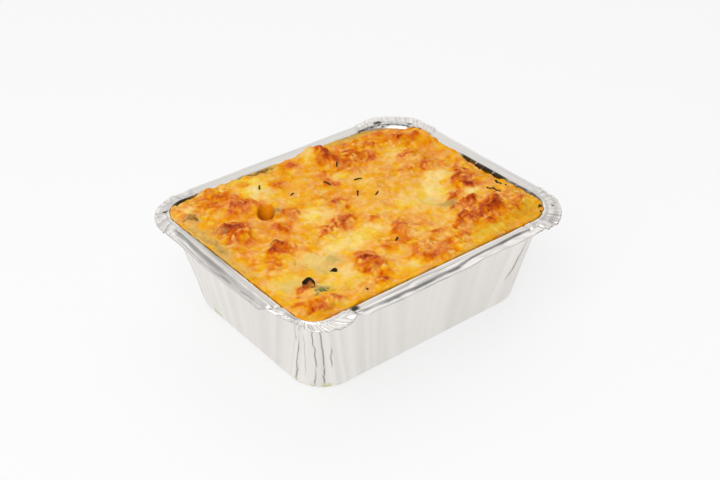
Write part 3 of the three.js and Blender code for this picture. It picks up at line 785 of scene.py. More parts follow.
SPOTS = [
    (-51, 20, 10, 7, 0, 0.85), (-51, 13, 10, 9, 0, 0.8), (-53, 9, 6, 5, 0, 0.62), (-38, 33, 10, 8, 0, 0.76),
    (-44, 31, 4, 3, 0, 0.66), (-35, 8, 7, 5, 60, 0.76), (-44, -4, 9, 7, 0, 0.72), (-25, 14, 6, 5, 50, 0.67),
    (-13, -4, 17, 6, 8, 0.7), (-8, -4, 5, 4, 0, 0.76), (-16, -6, 4, 3, 0, 0.72), (-3, 10, 5, 4, 0, 0.68),
    (-4, 4, 3, 2, 0, 0.62), (0, -10, 4, 3, 0, 0.62), (-22, -34, 10, 11, 0, 0.8), (-21, -38, 5, 4, 0, 0.8),
    (-26, -47, 6, 4, 0, 0.75), (14.5, 42.5, 7, 9, 25, 0.76), (22, 36, 9, 7, 0, 0.68),
    (18, 32, 7, 6, 0, 0.66), (32, 32, 10, 5, -10, 0.62), (-1, 47, 6, 5, 0, 0.6), (51, 37, 11, 5, -20, 0.64),
    (47, 46, 8, 4, 0, 0.6), (58, 34, 7, 3, 0, 0.69), (39, 41, 11, 5, 0, 0.64), (46, 20, 5, 4, 0, 0.69),
    (45, 10, 9, 3, 25, 0.67), (36, 13, 9, 5, 0, 0.58), (49, 25, 5, 4, 0, 0.6), (50, -9, 10, 6, 45, 0.76),
    (54, -4, 8, 4, 20, 0.78), (48, -15, 5, 4, 0, 0.82), (33, -22, 8, 3, 50, 0.8), (40, -16, 8, 5, 20, 0.68),
    (31, -31, 13, 3, 35, 0.78), (40, -26, 7, 3, 30, 0.76), (40, -33, 9, 5, 15, 0.74),
    (46, -34, 7, 5, 30, 0.8), (48, -31, 5, 4, 0, 0.77), (33, -36, 6, 4, 0, 0.7), (38, -41, 7, 4, 0, 0.68),
    (13, -34, 5, 3, 0, 0.7), (22, -42, 6, 4, 0, 0.65), (25, -36, 4, 3, 0, 0.64), (5, -21, 8, 4, 50, 0.68),
    (-8, -29, 6, 4, 0, 0.66), (15, -27, 5, 5, 0, 0.6), (2, -39, 9, 5, 0, 0.64), (6, -44, 15, 9, 0, 0.6),
    (-54, -46, 7, 3, 0, 0.69), (-47, -46, 5, 4, 0, 0.76), (-60, -39, 5, 3, 0, 0.68),
    (-54, -34.2, 4, 3, 0, 0.72), (-52.5, -33, 5, 4, 0, 0.8), (-57, -42, 4, 3, 0, 0.62),
    (-53, -13, 9, 6, 35, 0.6), (-51, -9, 4, 5, 0, 0.6), (-46, 42, 10, 8, 0, 0.63), (-39, 45, 4, 4, 0, 0.66),
    (-36, -14, 3, 5, 0, 0.5), (52, -40, 10, 5, 0, 0.62), (-60, 37, 6, 2.4, -50, 0.86),
    (-15.5, 37.5, 5, 7, 0, 0.54), (-30, 47, 8, 5, 0, 0.5), (-1, -32, 7, 4, 0, 0.64),
    (59, -36, 5, 3, 0, 0.6), (3, 25, 4, 6, 0, 0.68), (-30, 9, 5, 5, 0, 0.6),
]

# How dry the top is, from 0 where it stayed moist with melted fat to 1 for dull and pale.
EVEN_DRYNESS = 0.42
DRYNESS = [
    (14, 42, 96, 24, 0, 0.05), (-15, 41, 18, 15, 0, 0.0), (-40, 45, 22, 14, 0, 0.08),
    (-26, 36, 12, 16, 0, 0.7), (-55, 24, 12, 14, 0, 0.15), (-52, -18, 12, 14, 0, 0.15),
    (-4, -33, 16, 8, 0, 0.1), (8, -48, 32, 8, 0, 0.05), (-27, -22, 34, 16, 0, 0.95),
    (16, -15, 38, 10, 0, 0.8), (36, -8, 12, 12, 0, 0.95), (43, 0, 16, 9, 0, 0.95), (44, 27, 20, 12, 0, 0.7),
    (-48, -47, 26, 8, 0, 0.65), (-36, -38, 14, 14, 0, 0.75), (12, -40, 10, 8, 0, 0.8),
    (46, -18, 14, 7, 40, 0.8), (4, 0, 16, 14, 0, 0.7), (-52, -1, 10, 7, 0, 0.7), (-16, 8, 14, 14, 0, 0.8),
    (50, -44, 24, 12, 0, 0.05), (-36, 7, 8, 8, 0, 0.5), (25, -24, 8, 12, 0, 0.25),
    (-51, 18, 13, 15, 0, 0.85), (-38, 33, 13, 11, 0, 0.8), (42, -31, 26, 12, 10, 0.95),
    (6, -43, 15, 10, 0, 0.85), (50, -9, 10, 14, 40, 0.7), (-12, -4, 18, 8, 0, 0.7),
    (7.5, 47, 6, 9, 20, 0.9), (-46.6, -34.4, 4, 3, 0, 1.0), (-46, 4, 12, 22, 0, 0.62),
    (22, 32, 24, 14, 0, 0.2), (26, 18, 12, 14, 0, 0.25),
]
# Sauce and fat colours: where sauce shows through the cheese and where melted fat gathered, and long, thin
# lines of them along the far edge, where the crust meets the foil.
SAUCE = [
    (-61.5, 32, 7, 8, 0, 0.6), (-60, 36.5, 9, 2.0, -50, 1.0), (-62, 22, 7, 14, 0, 0.7),
    (-62.5, 11, 6, 16, 0, 0.75), (-64, 1, 4, 12, 0, 0.5), (-58, 22, 6, 8, 0, 0.35),
    (-30, -23.5, 9, 6, -30, 0.72), (-36, -24, 7, 5, 0, 0.4), (-39, -27, 9, 7, 0, 0.55),
    (-41, -19, 13, 9, 0, 0.4), (36, 52, 28, 4.5, -2, 0.6), (-17, 52.3, 24, 3, 0, 1.0),
    (-27, 20, 6, 5, 30, 0.75), (31, -20, 5, 10, 40, 0.75), (-54, -28, 13, 8, 0, 0.5),
    (-24, 37, 6, 8, 0, 0.25), (55, 22, 5, 5, 0, 0.25), (-59, 39, 6, 4, 0, 0.9),
    (-47.5, -37, 9, 7, -38, 0.75), (-62, -8, 4, 8, 0, 0.3), (28, -14, 8, 9, 0, 0.35),
]
OILY = [
    (54, -45, 26, 16, 0, 0.95), (34, -47, 24, 12, 0, 0.85), (62, -34, 8, 14, 0, 0.6),
    (-17, 52, 22, 3, 0, 0.95), (36, 53, 22, 3, 0, 0.95), (-38, -40, 12, 8, 0, 0.4),
    (-62, -35, 4, 10, 0, 0.25), (-52, -50, 16, 4, 0, 0.6), (10, -52, 40, 3, 0, 0.5),
    (-64, -12, 3, 20, 0, 0.5), (-58, -48, 8, 6, 0, 0.6), (-43, -40, 4, 3, 0, 0.8),
]


def wandering(reach, size, seed):
    """Soft hills over the whole map, from -reach to reach and `size` apart."""
    return 2 * reach * (noise(map_x / size, map_y / size, seed) - 0.5)


warped_x = map_x + wandering(1.6, 4.5, 61) + wandering(0.8, 1.7, 62)
warped_y = map_y + wandering(1.6, 4.5, 63) + wandering(0.8, 1.7, 64)
breaks = wandering(0.5, 2.3, 65) + wandering(0.35, 1.0, 66)


def brushed(field, spots, core=0.4, ragged=0.5):
    """Brings the field to each spot's level, with a soft and ragged edge."""
    for x, y, length, width, turn, level in spots:
        along, across = turned(warped_x - x, warped_y - y, turn)
        away = np.hypot(along / (length / 2), across / (width / 2)) + ragged * breaks
        field = mix(field, level, 1 - smoothstep(core, 1.4, away))
    return field


SPOT_SPREAD, DARKEST_SPOT = 1.25, 0.82  # the scorched blisters fade out this much wider than their sizes
spread_spots = [(x, y, SPOT_SPREAD * length, SPOT_SPREAD * width, turn, min(level, DARKEST_SPOT))
                for x, y, length, width, turn, level in SPOTS]
browning = brushed(np.full_like(crust, GOLDEN), FIELDS, core=0.3)
spotted = brushed(browning, spread_spots)
heat = np.clip(spotted - browning, 0, 1)  # where blisters stand
browning = spotted
dry = brushed(np.full_like(crust, EVEN_DRYNESS), DRYNESS, core=0.3)
sauce = brushed(np.zeros_like(crust), SAUCE)
oily = brushed(np.zeros_like(crust), OILY, ragged=0.25) * (0.85 + wandering(0.45, 1.7, 76))


def curds(size, seed):
    """Rounded lumps about `size` apart: a height from 0 in the creases between them to 1, and a tone each."""
    x, y = [place / size + 1.1 * (noise(map_x / size / 1.7, map_y / size / 1.7, seed + layer) - 0.5)
            for layer, place in enumerate((map_x, map_y))]
    i, j = np.floor(x), np.floor(y)
    nearest = np.full(x.shape, 9.0)
    second = nearest.copy()
    tone = np.zeros_like(x)
    for column, row in np.ndindex(3, 3):
        near_i, near_j = i + column - 1, j + row - 1
        middle_x = near_i + 0.5 + 0.8 * (lattice(near_i, near_j, seed + 2) - 0.5)
        middle_y = near_j + 0.5 + 0.8 * (lattice(near_i, near_j, seed + 3) - 0.5)
        away = np.hypot(x - middle_x, y - middle_y)
        closer = away < nearest
        second = np.where(closer, nearest, np.minimum(second, away))
        tone = np.where(closer, lattice(near_i, near_j, seed + 4), tone)
        nearest = np.minimum(nearest, away)
    edge = np.clip((second - nearest) * 1.8, 0, 1)
    return np.sqrt(edge * (2 - edge)), 2 * tone - 1


def window_round(x, y, reach):
    """The cells of the map that lie near a place."""
    return np.ix_(np.abs(map_y[:, 0] - y) < reach, np.abs(map_x[0] - x) < reach)


# Melted strands of grated cheese, each a soft ridge. Short pale ones kept their shape.
random = np.random.default_rng(8)
CRUST_HALF = np.array([map_length, map_width]) / 2
STRANDS = 1700
STRAND_TURN, TURN_SPREAD = 25, 55  # degrees
relief = np.zeros_like(crust)
strand_tone = np.zeros_like(crust)
fleck = np.zeros_like(crust)
for _ in range(STRANDS):
    middle = random.uniform(-CRUST_HALF, CRUST_HALF)
    is_fleck = random.random() < 0.5
    length = random.uniform(1.6, 4.5) if is_fleck else random.uniform(4, 12)
    radius = random.uniform(0.45, 0.9) if is_fleck else random.uniform(0.6, 1.25)
    turn = random.normal(STRAND_TURN, TURN_SPREAD)
    bend = random.normal(0, 0.04)
    ridge = radius * random.uniform(0.6, 1.0)
    tone = random.normal(-0.6, 0.5) if is_fleck else random.normal(0.1, 0.6)
    window = window_round(*middle, length / 2 + 2)
    along, across = turned(map_x[window] - middle[0], map_y[window] - middle[1], turn)
    across = (across - bend * along ** 2) / radius
    profile = ridge * np.sqrt(np.clip(1 - across ** 2 - (along / (length / 2)) ** 4, 0, 1))
    grown = 0.45 * relief[window] + profile
    on_top = grown > relief[window]
    toned = mix(strand_tone[window], tone, profile / ridge)
    strand_tone[window] = np.where(on_top, toned, strand_tone[window])
    relief[window] = np.where(on_top, grown, relief[window])
    pale = profile / ridge if is_fleck else 0 * profile
    fleck[window] = np.where(on_top, mix(fleck[window], pale, profile > 0), fleck[window])
strand_tone = blurred(strand_tone, 0.3)
fleck = blurred(fleck, 0.25)

# Strands and curds stand out most where the crust is brownest, and least where it ran together.
big_curds, big_tone = curds(5.4, 90)
curd, curd_tone = curds(2.7, 100)
grain, grain_tone = curds(1.35, 110)
baked_through = blurred(browning, 1.5)
lumpy = smoothstep(0.34, 0.72, baked_through + wandering(0.2, 9, 67))
relief = mix(blurred(relief, 0.9), blurred(relief, 0.3), lumpy)
relief = 0.8 * relief + mix(0.35, 0.9, lumpy) * (1.1 * big_curds + 0.65 * curd) + 0.16 * grain * lumpy
relief -= blurred(relief, 6)  # the texture leaves the crust's level as it is

high_spots = relief - blurred(relief, 1.5)
hollows = relief - blurred(relief, 4)
hot = smoothstep(0.5, 0.78, baked_through)
browning = browning + wandering(0.06, 6.5, 71) + mix(0.5, 1, lumpy) * wandering(0.08, 2.6, 72)
browning += mix(0.06, 0.09, lumpy) * strand_tone + mix(0.03, 0.1, lumpy) * curd_tone + 0.03 * big_tone
browning += mix(0.03, 0.14, hot) * grain_tone + 0.05 * hollows + 0.1 * hot * high_spots
browning -= mix(0.03, 0.13, lumpy) * (curd - 0.7) * (1 - hot)
browning = mix(browning, 0.3 * browning + 0.05, mix(0.3, 0.8, lumpy) * fleck)

# Lumps that stood clear of the fat dried to a dull rosy tan, and the creases between them stayed moist.
dry += wandering(0.4, 6, 73) + wandering(0.95, 2.8, 74) + wandering(1.0, 1.3, 75) * mix(0.5, 1, lumpy)
dry += 0.3 * hollows + 0.5 * fleck + 0.2 * curd_tone
dry = np.clip(dry + 0.2 * hot - 0.8 * oily, 0, 1)
# Painted shade: the colour darkens down in the creases and hollows between the lumps.
shade = np.clip(-0.75 * high_spots - 0.2 * hollows, 0, 1) * mix(0.3, 1, lumpy)

# Blisters: small bubbles of cheese that set and browned, thickest where the crust is brownest.
BLISTERS = 900
for _ in range(BLISTERS):
    x, y = random.uniform(-CRUST_HALF, CRUST_HALF)
    radius = random.uniform(0.5, 1.4)
    if sampled(baked_through, x, y) < random.uniform(0.4, 0.8):
        continue
    window = window_round(x, y, radius)
    dome = np.clip(1 - ((map_x[window] - x) ** 2 + (map_y[window] - y) ** 2) / radius ** 2, 0, 1)
    relief[window] += 0.5 * radius * dome
    browning[window] += random.uniform(-0.15, 0.25) * dome

# The burst bubble is smooth and moist inside, and painted shade darkens its near wall.
PIT_BROWNING = 0.53
PIT_LIT_SIDE = (0.62, 0.79)  # the direction of its brighter wall
in_pit = 1 - smoothstep(0.85, 1.1, pit_away)
browning = mix(browning, PIT_BROWNING, in_pit)
dry = dry * (1 - in_pit)
nearer = -(pit_x * PIT_LIT_SIDE[0] + pit_y * PIT_LIT_SIDE[1]) / (PIT_LENGTH / 2)
pit_shade = smoothstep(-1.0, 0.15, nearer) * (1 - smoothstep(0.9, 1.05, pit_away))
shade = mix(shade, pit_shade, in_pit)
relief = relief * (1 - in_pit) + pit_rim
fine_relief = 0.14 * noise(map_x / 0.9, map_y / 0.9, 81) + 0.2 * noise(map_x / 2.2, map_y / 2.2, 82)
mounds = 0.95 * smoothstep(0.02, 0.4, blurred(heat, 1.7))
crust_map = crust + relief + mounds + fine_relief * (1 - in_pit) - pit_bowl

# The crust is a net that fills the opening, and below it the filling's side and underside close the solid.
COLUMNS, ROWS = 330, 268
ROW_CROWDING = 0.35  # the rows lie closer together towards the net's ends
half_length = RIM_LENGTH / 2 - CRUST_INSET
half_width = RIM_WIDTH / 2 - CRUST_INSET
crust_radii = OPENING_RADII - 0.4


def edge_x(y, upper, lower):
    """How far the opening's side lies from the middle at each `y`, between the two corners it joins."""
    radius = np.where(y > 0, crust_radii[upper], crust_radii[lower])
    beyond = np.clip(np.abs(y) - (half_width - radius), 0, radius)
    return half_length - radius + np.sqrt(radius ** 2 - beyond ** 2)


evenly = np.linspace(-1, 1, ROWS + 1)
row_y = half_width * mix(evenly, np.sin(evenly * math.pi / 2), ROW_CROWDING)
net_y = np.repeat(row_y[:, None], COLUMNS + 1, 1)
net_x = mix(-edge_x(row_y, LEFT, NEAR)[:, None], edge_x(row_y, FAR, RIGHT)[:, None],
            np.linspace(0, 1, COLUMNS + 1)[None, :])
net_z = sampled(crust_map, net_x, net_y)

rim_of_net = ([(0, c) for c in range(COLUMNS)] + [(r, COLUMNS) for r in range(ROWS)]
              + [(ROWS, c) for c in range(COLUMNS, 0, -1)] + [(r, 0) for r in range(ROWS, 0, -1)])
net_index = np.arange(net_x.size).reshape(net_x.shape)
edge_ring = np.array([net_index[place] for place in rim_of_net])
net_points = np.stack([net_x.ravel(), net_y.ravel(), net_z.ravel()], 1)
faces = np.stack([net_index[:-1, :-1], net_index[:-1, 1:], net_index[1:, 1:], net_index[1:, :-1]], -1)
faces = faces.reshape(-1, 4).tolist()

SIDE_HEIGHTS = (34.0, 20.0, 4.0, 0.6)
SIDE_CLEARANCE = 1.2  # the hidden sides stay well inside the wall's flutes
OVERHANG = 0.6  # how far the crust's edge spreads onto the foil's ridge
RIDGE_TOP = 43.55
edge = net_points[edge_ring]
edge_radius = crust_radii[corner_at(edge[:, 0], edge[:, 1])]
spread = 1 - sampled(shrunk, edge[:, 0], edge[:, 1])
overhang = OVERHANG * spread * (0.5 + noise(edge[:, 0] / 2.2, edge[:, 1] / 2.2, 83))
brim = mix(edge[:, 2] - 0.3, np.maximum(edge[:, 2] - 0.25, RIDGE_TOP), spread)
count = len(edge_ring)
side_sections = [
    (-overhang, edge_radius, brim),
    (np.full(count, 0.2), edge_radius, np.minimum(brim - 0.9, 42.4)),
]
for z in SIDE_HEIGHTS:
    narrowing = (BASE_INSET - FLANGE_WIDTH) * (1 - z / WALL_TOP) + SIDE_CLEARANCE
    side_sections.append((narrowing, mix(BASE_RADIUS, edge_radius, z / WALL_TOP), np.full(count, z)))
side_rings = []
previous = edge_ring
for narrowing, radius, heights in side_sections:
    middle = np.array([half_length, half_width]) - (narrowing + radius)[:, None]
    within = np.clip(edge[:, :2], -middle, middle)
    out = edge[:, :2] - within
    outermost = within + radius[:, None] * out / np.linalg.norm(out, axis=1, keepdims=True)
    here = net_points.shape[0] + len(side_rings) * count + np.arange(count)
    faces += np.column_stack([previous, here, np.roll(here, -1), np.roll(previous, -1)]).tolist()
    side_rings.append(np.column_stack([outermost, heights]))
    previous = here
faces.append(previous[::-1].tolist())
bake_points = np.concatenate([net_points] + side_rings)
browned_bake = new_piece("browned_bake", [(bake_points, faces)])
for name, field in (("browning", browning), ("dry", dry), ("shade", shade), ("sauce", sauce),
                    ("oily", oily)):
    paint(browned_bake, name, sampled(field, bake_points[:, 0], bake_points[:, 1]))


def ramped(tree, value, places, colours):
    """The colour that a value between 0 and 1 stands for."""
    node = add_node(tree, "ShaderNodeValToRGB", {"Fac": value})
    while len(node.color_ramp.elements) < len(colours):
        node.color_ramp.elements.new(0.5)
    for element, place, colour in zip(node.color_ramp.elements, places, colours):
        element.position = place
        element.color = colour
    return node.outputs["Color"]


# Moist and dried cheese, from cream over golden and orange to dark brown.
BROWNING_STEPS = (0.0, 0.14, 0.28, 0.42, 0.54, 0.66, 0.78, 0.89, 1.0)
MOIST_CHEESE = [
    srgb(252, 220, 104), srgb(249, 205, 74), srgb(247, 188, 48), srgb(243, 166, 24), srgb(236, 142, 6),
    srgb(224, 114, 0), srgb(200, 86, 0), srgb(168, 64, 0), srgb(124, 44, 0),
]
DRY_CHEESE = [
    srgb(254, 226, 150), srgb(252, 212, 128), srgb(249, 196, 106), srgb(245, 175, 86), srgb(238, 150, 70),
    srgb(224, 120, 54), srgb(202, 94, 42), srgb(174, 72, 32), srgb(130, 50, 26),
]
SAUCE_LIGHT = srgb(216, 192, 112)
SAUCE_DARK = srgb(148, 106, 42)
PALE_OIL = srgb(226, 194, 62)
DEEP_OIL = srgb(213, 143, 6)
# Painted shade: the crust's colour is multiplied by this in the creases and on the pit's near wall.
SHADE_COLOUR = srgb(188, 160, 110)  # what the colour is multiplied by down in a crease
crust_finish, tree, shader = new_material("browned_cheese")
mottled = worked_out(tree, "MULTIPLY_ADD", uneven_tone(tree, 0.0014), 0.045, kept(tree, "browning"))
moist_colour = ramped(tree, mottled, BROWNING_STEPS, MOIST_CHEESE)
dry_colour = ramped(tree, mottled, BROWNING_STEPS, DRY_CHEESE)
baked = blended(tree, kept(tree, "dry"), moist_colour, dry_colour)
not_browned = ranged(tree, kept(tree, "browning"), 0.8, 0.0, 0.45, 0.7)
oil_share = worked_out(tree, "MULTIPLY", kept(tree, "oily"), not_browned)
oil_colour = blended(tree, ranged(tree, mottled, 0.0, 1.0, 0.1, 0.46), PALE_OIL, DEEP_OIL)
oiled = blended(tree, oil_share, baked, oil_colour)
thick_sauce = ranged(tree, kept(tree, "sauce"), 0.0, 1.0, 0.5, 1.0)
sauced = blended(tree, kept(tree, "sauce"), oiled, blended(tree, thick_sauce, SAUCE_LIGHT, SAUCE_DARK))
fill_in(shader, {
    "Base Color": blended(tree, kept(tree, "shade"), sauced, SHADE_COLOUR, way="MULTIPLY"),
    "Roughness": ranged(tree, uneven_tone(tree, 0.006), 0.28, 0.5),
    "Normal": bumps(tree, 0.0011, 0.35, 0.0005),
    "Specular IOR Level": 0.04,
    "Subsurface Weight": 0.12,
    "Subsurface Radius": (1.0, 0.45, 0.12),
    "Subsurface Scale": 0.0012,
})
browned_bake.data.materials.append(crust_finish)

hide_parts("bake")
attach(browned_bake, "root")


# ---- Mushroom slice ----
# A thin slice of mushroom, cut from cap to stem, that stuck out of the cheese in the oven. Its cap's edge
# is scorched black, and its stem and the side that lies on the cheese only browned.
CAP_WIDTH, CAP_HEIGHT = 5.6, 3.2
STEM_WIDTH, STEM_HEIGHT = 3.0, 1.8
SLICE_THICKNESS = 1.9
SLICE_ROLL, SLICE_LEAN, SLICE_TURN = math.radians(-22), math.radians(50), math.radians(-34)


def rounded_off(corners, times):
    """The closed outline with its corners cut off again and again, until it is smooth."""
    for _ in range(times):
        following = np.roll(corners, -1, 0)
        corners = np.stack([mix(corners, following, 0.25), mix(corners, following, 0.75)], 1).reshape(-1, 2)
    return corners


cap_angles = np.linspace(0, math.pi, 11)
lobes = 1 + 0.22 * (noise(cap_angles * 1.6, 0 * cap_angles, 123) - 0.5)
cap_edge = np.column_stack([
    CAP_WIDTH / 2 * lobes * np.cos(cap_angles), STEM_HEIGHT + CAP_HEIGHT * lobes * np.sin(cap_angles)])
stem_foot = np.array([(-STEM_WIDTH / 2 - 0.5, 0.1), (STEM_WIDTH / 2, 0.1), (STEM_WIDTH / 2, STEM_HEIGHT)])
stem_neck = np.array([(-STEM_WIDTH / 2 - 0.6, STEM_HEIGHT - 0.4)])
slice_outline = rounded_off(np.concatenate([stem_foot, cap_edge, stem_neck]), 2)
slice_middle = np.array([0, STEM_HEIGHT + 0.4])
SLICE_SECTION = [  # from the back to the front: how wide the outline is, and how deep it lies
    (0.3, -0.86), (0.72, -0.98), (0.92, -0.8), (1, -0.4), (1, 0.4), (0.92, 0.8), (0.72, 0.86), (0.4, 0.6),
]
slice_rings = []
for scale, depth in SLICE_SECTION:
    flat = slice_middle + scale * (slice_outline - slice_middle)
    depth = depth * SLICE_THICKNESS / 2 + 0.35 * (noise(flat[:, 0] * 1.1 + 9, flat[:, 1] * 1.1, 121) - 0.5)
    slice_rings.append(np.column_stack([flat, depth]))
slice_points, slice_faces = skin(slice_rings)
lean = Matrix.Rotation(SLICE_TURN, 3, "Z") @ Matrix.Rotation(SLICE_LEAN, 3, "X")
lean = lean @ Matrix.Rotation(SLICE_ROLL, 3, "Z")
stood_up = slice_points @ np.array(lean).T
slice_place = np.array([pocket.x, pocket.y, pocket_high.z])
box_middle = (stood_up.max(0) + stood_up.min(0)) / 2
stood_up += slice_place - np.array([box_middle[0], box_middle[1], stood_up[:, 2].max()])
mushroom = new_piece("scorched_mushroom_slice", [(stood_up, slice_faces)])

# The char is thick over the cap's left shoulder and thins out to a line down its right side.
from_middle_x, from_middle_y = slice_points[:, 0], slice_points[:, 1] - STEM_HEIGHT + 0.5
cap_heading = (np.degrees(np.arctan2(from_middle_y, from_middle_x)) + 120) % 360 - 120
from_cap_edge = 1 - np.hypot(from_middle_x / CAP_WIDTH * 2, from_middle_y / (CAP_HEIGHT + 0.5))
uneven = noise(slice_points[:, 0] * 1.5 + 5, slice_points[:, 1] * 1.5 + 3, 122) - 0.5
char_width = np.interp(cap_heading, [-80, -40, 20, 60, 100, 145, 175, 200],
                       [0, 0, 0.1, 0.32, 0.6, 0.7, 0.4, 0])
charred = 1 - smoothstep(0.75, 1.25, (from_cap_edge + 0.2 * uneven) / np.maximum(char_width, 0.01))
paint(mushroom, "charred", np.where(char_width > 0.01, charred, 0))
paint(mushroom, "left", smoothstep(0.6, -2.2, slice_points[:, 0] + 0.4 * slice_points[:, 1] - 0.8))
paint(mushroom, "right", smoothstep(0.4, 2.0, slice_points[:, 0]))

FLESH, FLESH_FLECKS = srgb(196, 122, 44), srgb(140, 72, 28)
REDDENED_FLESH, TANNED_FLESH = srgb(170, 76, 14), srgb(198, 138, 50)
CHARRED_FLESH = srgb(30, 20, 14)
mushroom_finish, tree, shader = new_material("scorched_mushroom")
flecked = uneven_tone(tree, 0.0009)
flesh = blended(tree, ranged(tree, flecked, 0.1, 0.9), FLESH, FLESH_FLECKS)
reddened = blended(tree, kept(tree, "left"), flesh, REDDENED_FLESH)
tanned = blended(tree, kept(tree, "right"), reddened, TANNED_FLESH)
fill_in(shader, {
    "Base Color": blended(tree, kept(tree, "charred"), tanned, CHARRED_FLESH),
    "Roughness": ranged(tree, flecked, 0.35, 0.6),
    "Normal": bumps(tree, 0.0007, 0.6, 0.0003),
    "Specular IOR Level": 0.12,
})
mushroom.data.materials.append(mushroom_finish)

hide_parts("mushroom_slice")
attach(mushroom, "root")


# ---- Dried herbs and scorched bits ----
# Needles of dried rosemary and thyme were strewn over the cheese, sank in a little as it melted, and
# turned almost black. So did a few crumbs. Shreds of a green leaf lie beside the mushroom slice.
HERB_NEEDLES = [  # place, length and turn in degrees
    (15.4, 19.9, 4.3, -8), (1.9, 24.3, 4.2, -75), (7.4, 9.9, 5.0, -128), (13.5, 4.4, 2.8, 22),
    (-14.5, 27.9, 2.4, 15), (15.0, 34.6, 2.4, -133), (-23.0, 40.2, 3.0, -123), (-43.2, -0.6, 4.4, -28),
    (-3.1, -28.8, 2.9, 25), (-34.0, -48.4, 1.8, -104), (54.0, -25.7, 5.2, -55), (60.5, -21.6, 4.3, -85),
    (60.0, -47.6, 1.9, -39), (-47.6, -38.0, 1.9, -39),
]
NEEDLE_WIDTH = 0.75
NEEDLE_RISE = 0.22  # of its middle over the crust


def needle(x, y, length, turn, seed):
    """A slightly bent and wrinkled spindle that follows the crust."""
    rings = []
    for step in np.linspace(-1, 1, 9):
        bend = 0.12 * length * (step * step - 0.4) * (lattice(seed, 1, 131) - 0.5)
        across, aside = turned(step * length / 2, bend, -turn)
        middle_x, middle_y = x + across, y + aside
        girth = NEEDLE_WIDTH / 2 * math.sqrt(max(0.04, 1 - step ** 4))
        girth *= 0.8 + 0.5 * lattice(seed, step * 4, 132)
        angles = np.linspace(0, 2 * math.pi, 8, endpoint=False)[::-1]
        out_x, out_y = turned(0, girth * np.cos(angles), -turn)
        height = sampled(crust_map, middle_x, middle_y) + NEEDLE_RISE + 0.75 * girth * np.sin(angles)
        rings.append(np.column_stack([middle_x + out_x, middle_y + out_y, height]))
    return skin(rings)


def mottled_finish(name, size, colours, roughness, bump, gloss):
    """A material of two colours in uneven spots of a given size."""
    finish, tree, shader = new_material(name)
    tone = uneven_tone(tree, size)
    fill_in(shader, {
        "Base Color": blended(tree, ranged(tree, tone, 0.0, 1.0), *colours),
        "Roughness": ranged(tree, tone, *roughness),
        "Normal": bumps(tree, *bump),
        "Specular IOR Level": gloss,
    })
    return finish


herbs = new_piece("dried_herb_needles", [needle(*row, seed) for seed, row in enumerate(HERB_NEEDLES)])
herbs.data.materials.append(mottled_finish(
    "dried_herb", 0.0008, (srgb(34, 28, 10), srgb(88, 72, 26)), (0.4, 0.6), (0.0004, 0.5, 0.0002), 0.1))
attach(herbs, "root")


CRUMBS = [  # place, size, turn in degrees, seed and how ragged
    ((-35.2, -29.3), (2.6, 2.3, 2.6), -38, 141, 0.3), ((-36.5, -28.6), (0.9, 0.7, 0.6), -38, 142, 0.35),
    ((61.2, -46.3), (1.9, 1.5, 0.7), 20, 147, 0.35), ((57.5, -50.3), (1.2, 1.0, 0.6), 50, 148, 0.35),
    ((52.2, -23.6), (1.3, 0.8, 0.8), 30, 143, 0.35), ((55.2, -27.9), (1.2, 0.7, 0.8), -40, 144, 0.35),
    ((61.3, -19.6), (1.4, 0.8, 0.8), 10, 145, 0.35), ((61.8, -25.0), (1.1, 0.8, 0.8), 80, 146, 0.35),
]
SHREDS = [
    ((-46.8, -36.6), (2.8, 1.9, 1.1), -60, 151, 0.7), ((-49.1, -36.4), (2.2, 1.5, 0.9), -10, 152, 0.7),
    ((-47.4, -38.6), (3.0, 1.7, 0.8), -38, 153, 0.7), ((-50.6, -38.8), (1.8, 1.0, 0.6), 10, 154, 0.7),
    ((-45.2, -37.9), (1.4, 1.0, 0.7), 60, 155, 0.7),
]
LUMP_RINGS, LUMP_SIDES = 9, 14


def lump(place, size, turn, seed, ragged):
    """A small uneven lump that sits half sunk in the crust at `place`, with its length, width and height."""
    rings = []
    angles = np.linspace(0, 2 * math.pi, LUMP_SIDES, endpoint=False)
    for tilt in np.linspace(0.12, math.pi - 0.12, LUMP_RINGS):
        uneven = noise(2 * np.cos(angles) + 9, 2 * np.sin(angles) + 3 * tilt, seed) - 0.5
        out = math.sin(tilt) * (1 + ragged * uneven)
        x, y = turned(size[0] / 2 * out * np.cos(angles), size[1] / 2 * out * np.sin(angles), -turn)
        rings.append(np.column_stack([
            place[0] + x, place[1] + y, np.full(LUMP_SIDES, -size[2] / 2 * math.cos(tilt))]))
    points, faces = skin(rings)
    points[:, 2] += sampled(crust_map, *place)
    return points, faces


scorched_crumbs = new_piece("scorched_crumbs", [lump(*crumb) for crumb in CRUMBS])
scorched_crumbs.data.materials.append(mottled_finish(
    "scorched_crumb", 0.0007, (srgb(20, 15, 12), srgb(52, 34, 20)), (0.35, 0.6), (0.0005, 0.7, 0.0002), 0.12))
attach(scorched_crumbs, "root")

green_scrap = new_piece("green_scrap", [lump(*shred) for shred in SHREDS])
green_scrap.data.materials.append(mottled_finish(
    "soft_green_leaf", 0.0022, (srgb(96, 98, 42), srgb(186, 178, 104)), (0.3, 0.5), (0.0008, 0.6, 0.0003),
    0.05))
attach(green_scrap, "root")


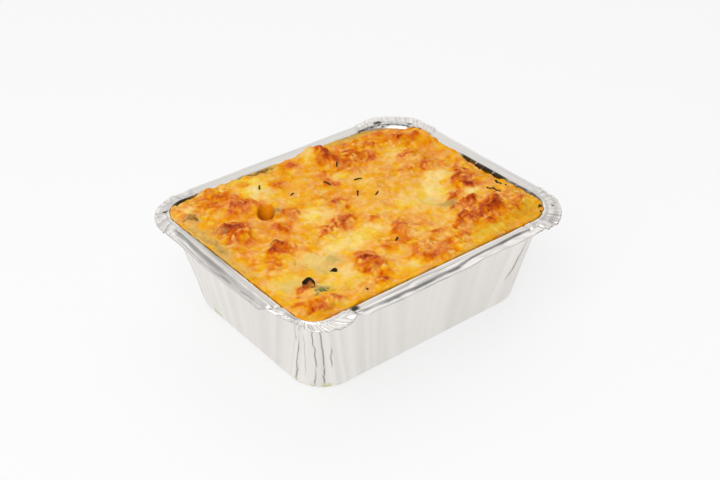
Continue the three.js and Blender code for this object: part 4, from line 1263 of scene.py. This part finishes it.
# ---- Floor and light ----
# A white table under a wide white studio ceiling. It is dark behind the camera, which gives the foil its
# grey and black streaks.
FLOOR_REACH = 3.0
FLOOR_DROP = 0.0002  # so that the floor doesn't touch the tray's base
TABLE_WHITE, TABLE_GLOW = 0.29, 0.68
floor_mesh = bpy.data.meshes.new("floor")
floor_corners = [(x * FLOOR_REACH, y * FLOOR_REACH, -FLOOR_DROP) for x, y in CORNERS.tolist()]
floor_mesh.from_pydata(floor_corners, [], [(0, 1, 2, 3)])
floor = bpy.data.objects.new("floor", floor_mesh)
bpy.context.scene.collection.objects.link(floor)
floor_finish, tree, shader = new_material("white_table")
fill_in(shader, {
    "Base Color": (TABLE_WHITE, TABLE_WHITE, TABLE_WHITE, 1), "Roughness": 0.7, "Specular IOR Level": 0.1,
    "Emission Color": (1, 1, 1, 1), "Emission Strength": TABLE_GLOW,
})
floor.data.materials.append(floor_finish)

# Brightness of the studio, from behind the camera (0) round to the lit backdrop that it faces (1).
STUDIO = [(0.0, 0.04), (0.2, 0.1), (0.34, 0.22), (0.5, 0.32), (0.67, 0.42), (0.75, 0.58), (0.905, 0.7),
          (0.95, 0.79), (0.985, 0.94), (1.0, 0.98)]
BACKDROP_ELEVATION = math.radians(42)
world = bpy.data.worlds.new("studio")
bpy.context.scene.world = world
world.use_nodes = True
tree = world.node_tree
direction = add_node(tree, "ShaderNodeTexCoord", {}).outputs["Generated"]
backdrop = Vector((forward.x, forward.y, 0)).normalized() * math.cos(BACKDROP_ELEVATION)
backdrop.z = math.sin(BACKDROP_ELEVATION)
towards_backdrop = add_node(tree, "ShaderNodeVectorMath", {0: direction, 1: backdrop},
                            operation="DOT_PRODUCT").outputs["Value"]
turned_round = ranged(tree, towards_backdrop, 0.0, 1.0)
greys = [(brightness, brightness, brightness, 1) for _, brightness in STUDIO]
studio_colour = ramped(tree, turned_round, [place for place, _ in STUDIO], greys)
fill_in(tree.nodes["Background"], {"Color": studio_colour})

# A large softbox above the camera's left shoulder and a weaker one over the backdrop.
LIGHT_AIM = Vector((0, 0, 0.04))
for name, place, size, energy in (
    ("key", (-0.75, -0.45, 1.0), 1.4, 12.0),
    ("fill", (0.6, 0.5, 1.1), 0.9, 0.8),
):
    light = bpy.data.lights.new(name, "AREA")
    light.size = size
    light.energy = energy
    softbox = bpy.data.objects.new(name, light)
    softbox.location = place
    softbox.rotation_euler = (LIGHT_AIM - softbox.location).to_track_quat("-Z", "Y").to_euler()
    bpy.context.scene.collection.objects.link(softbox)
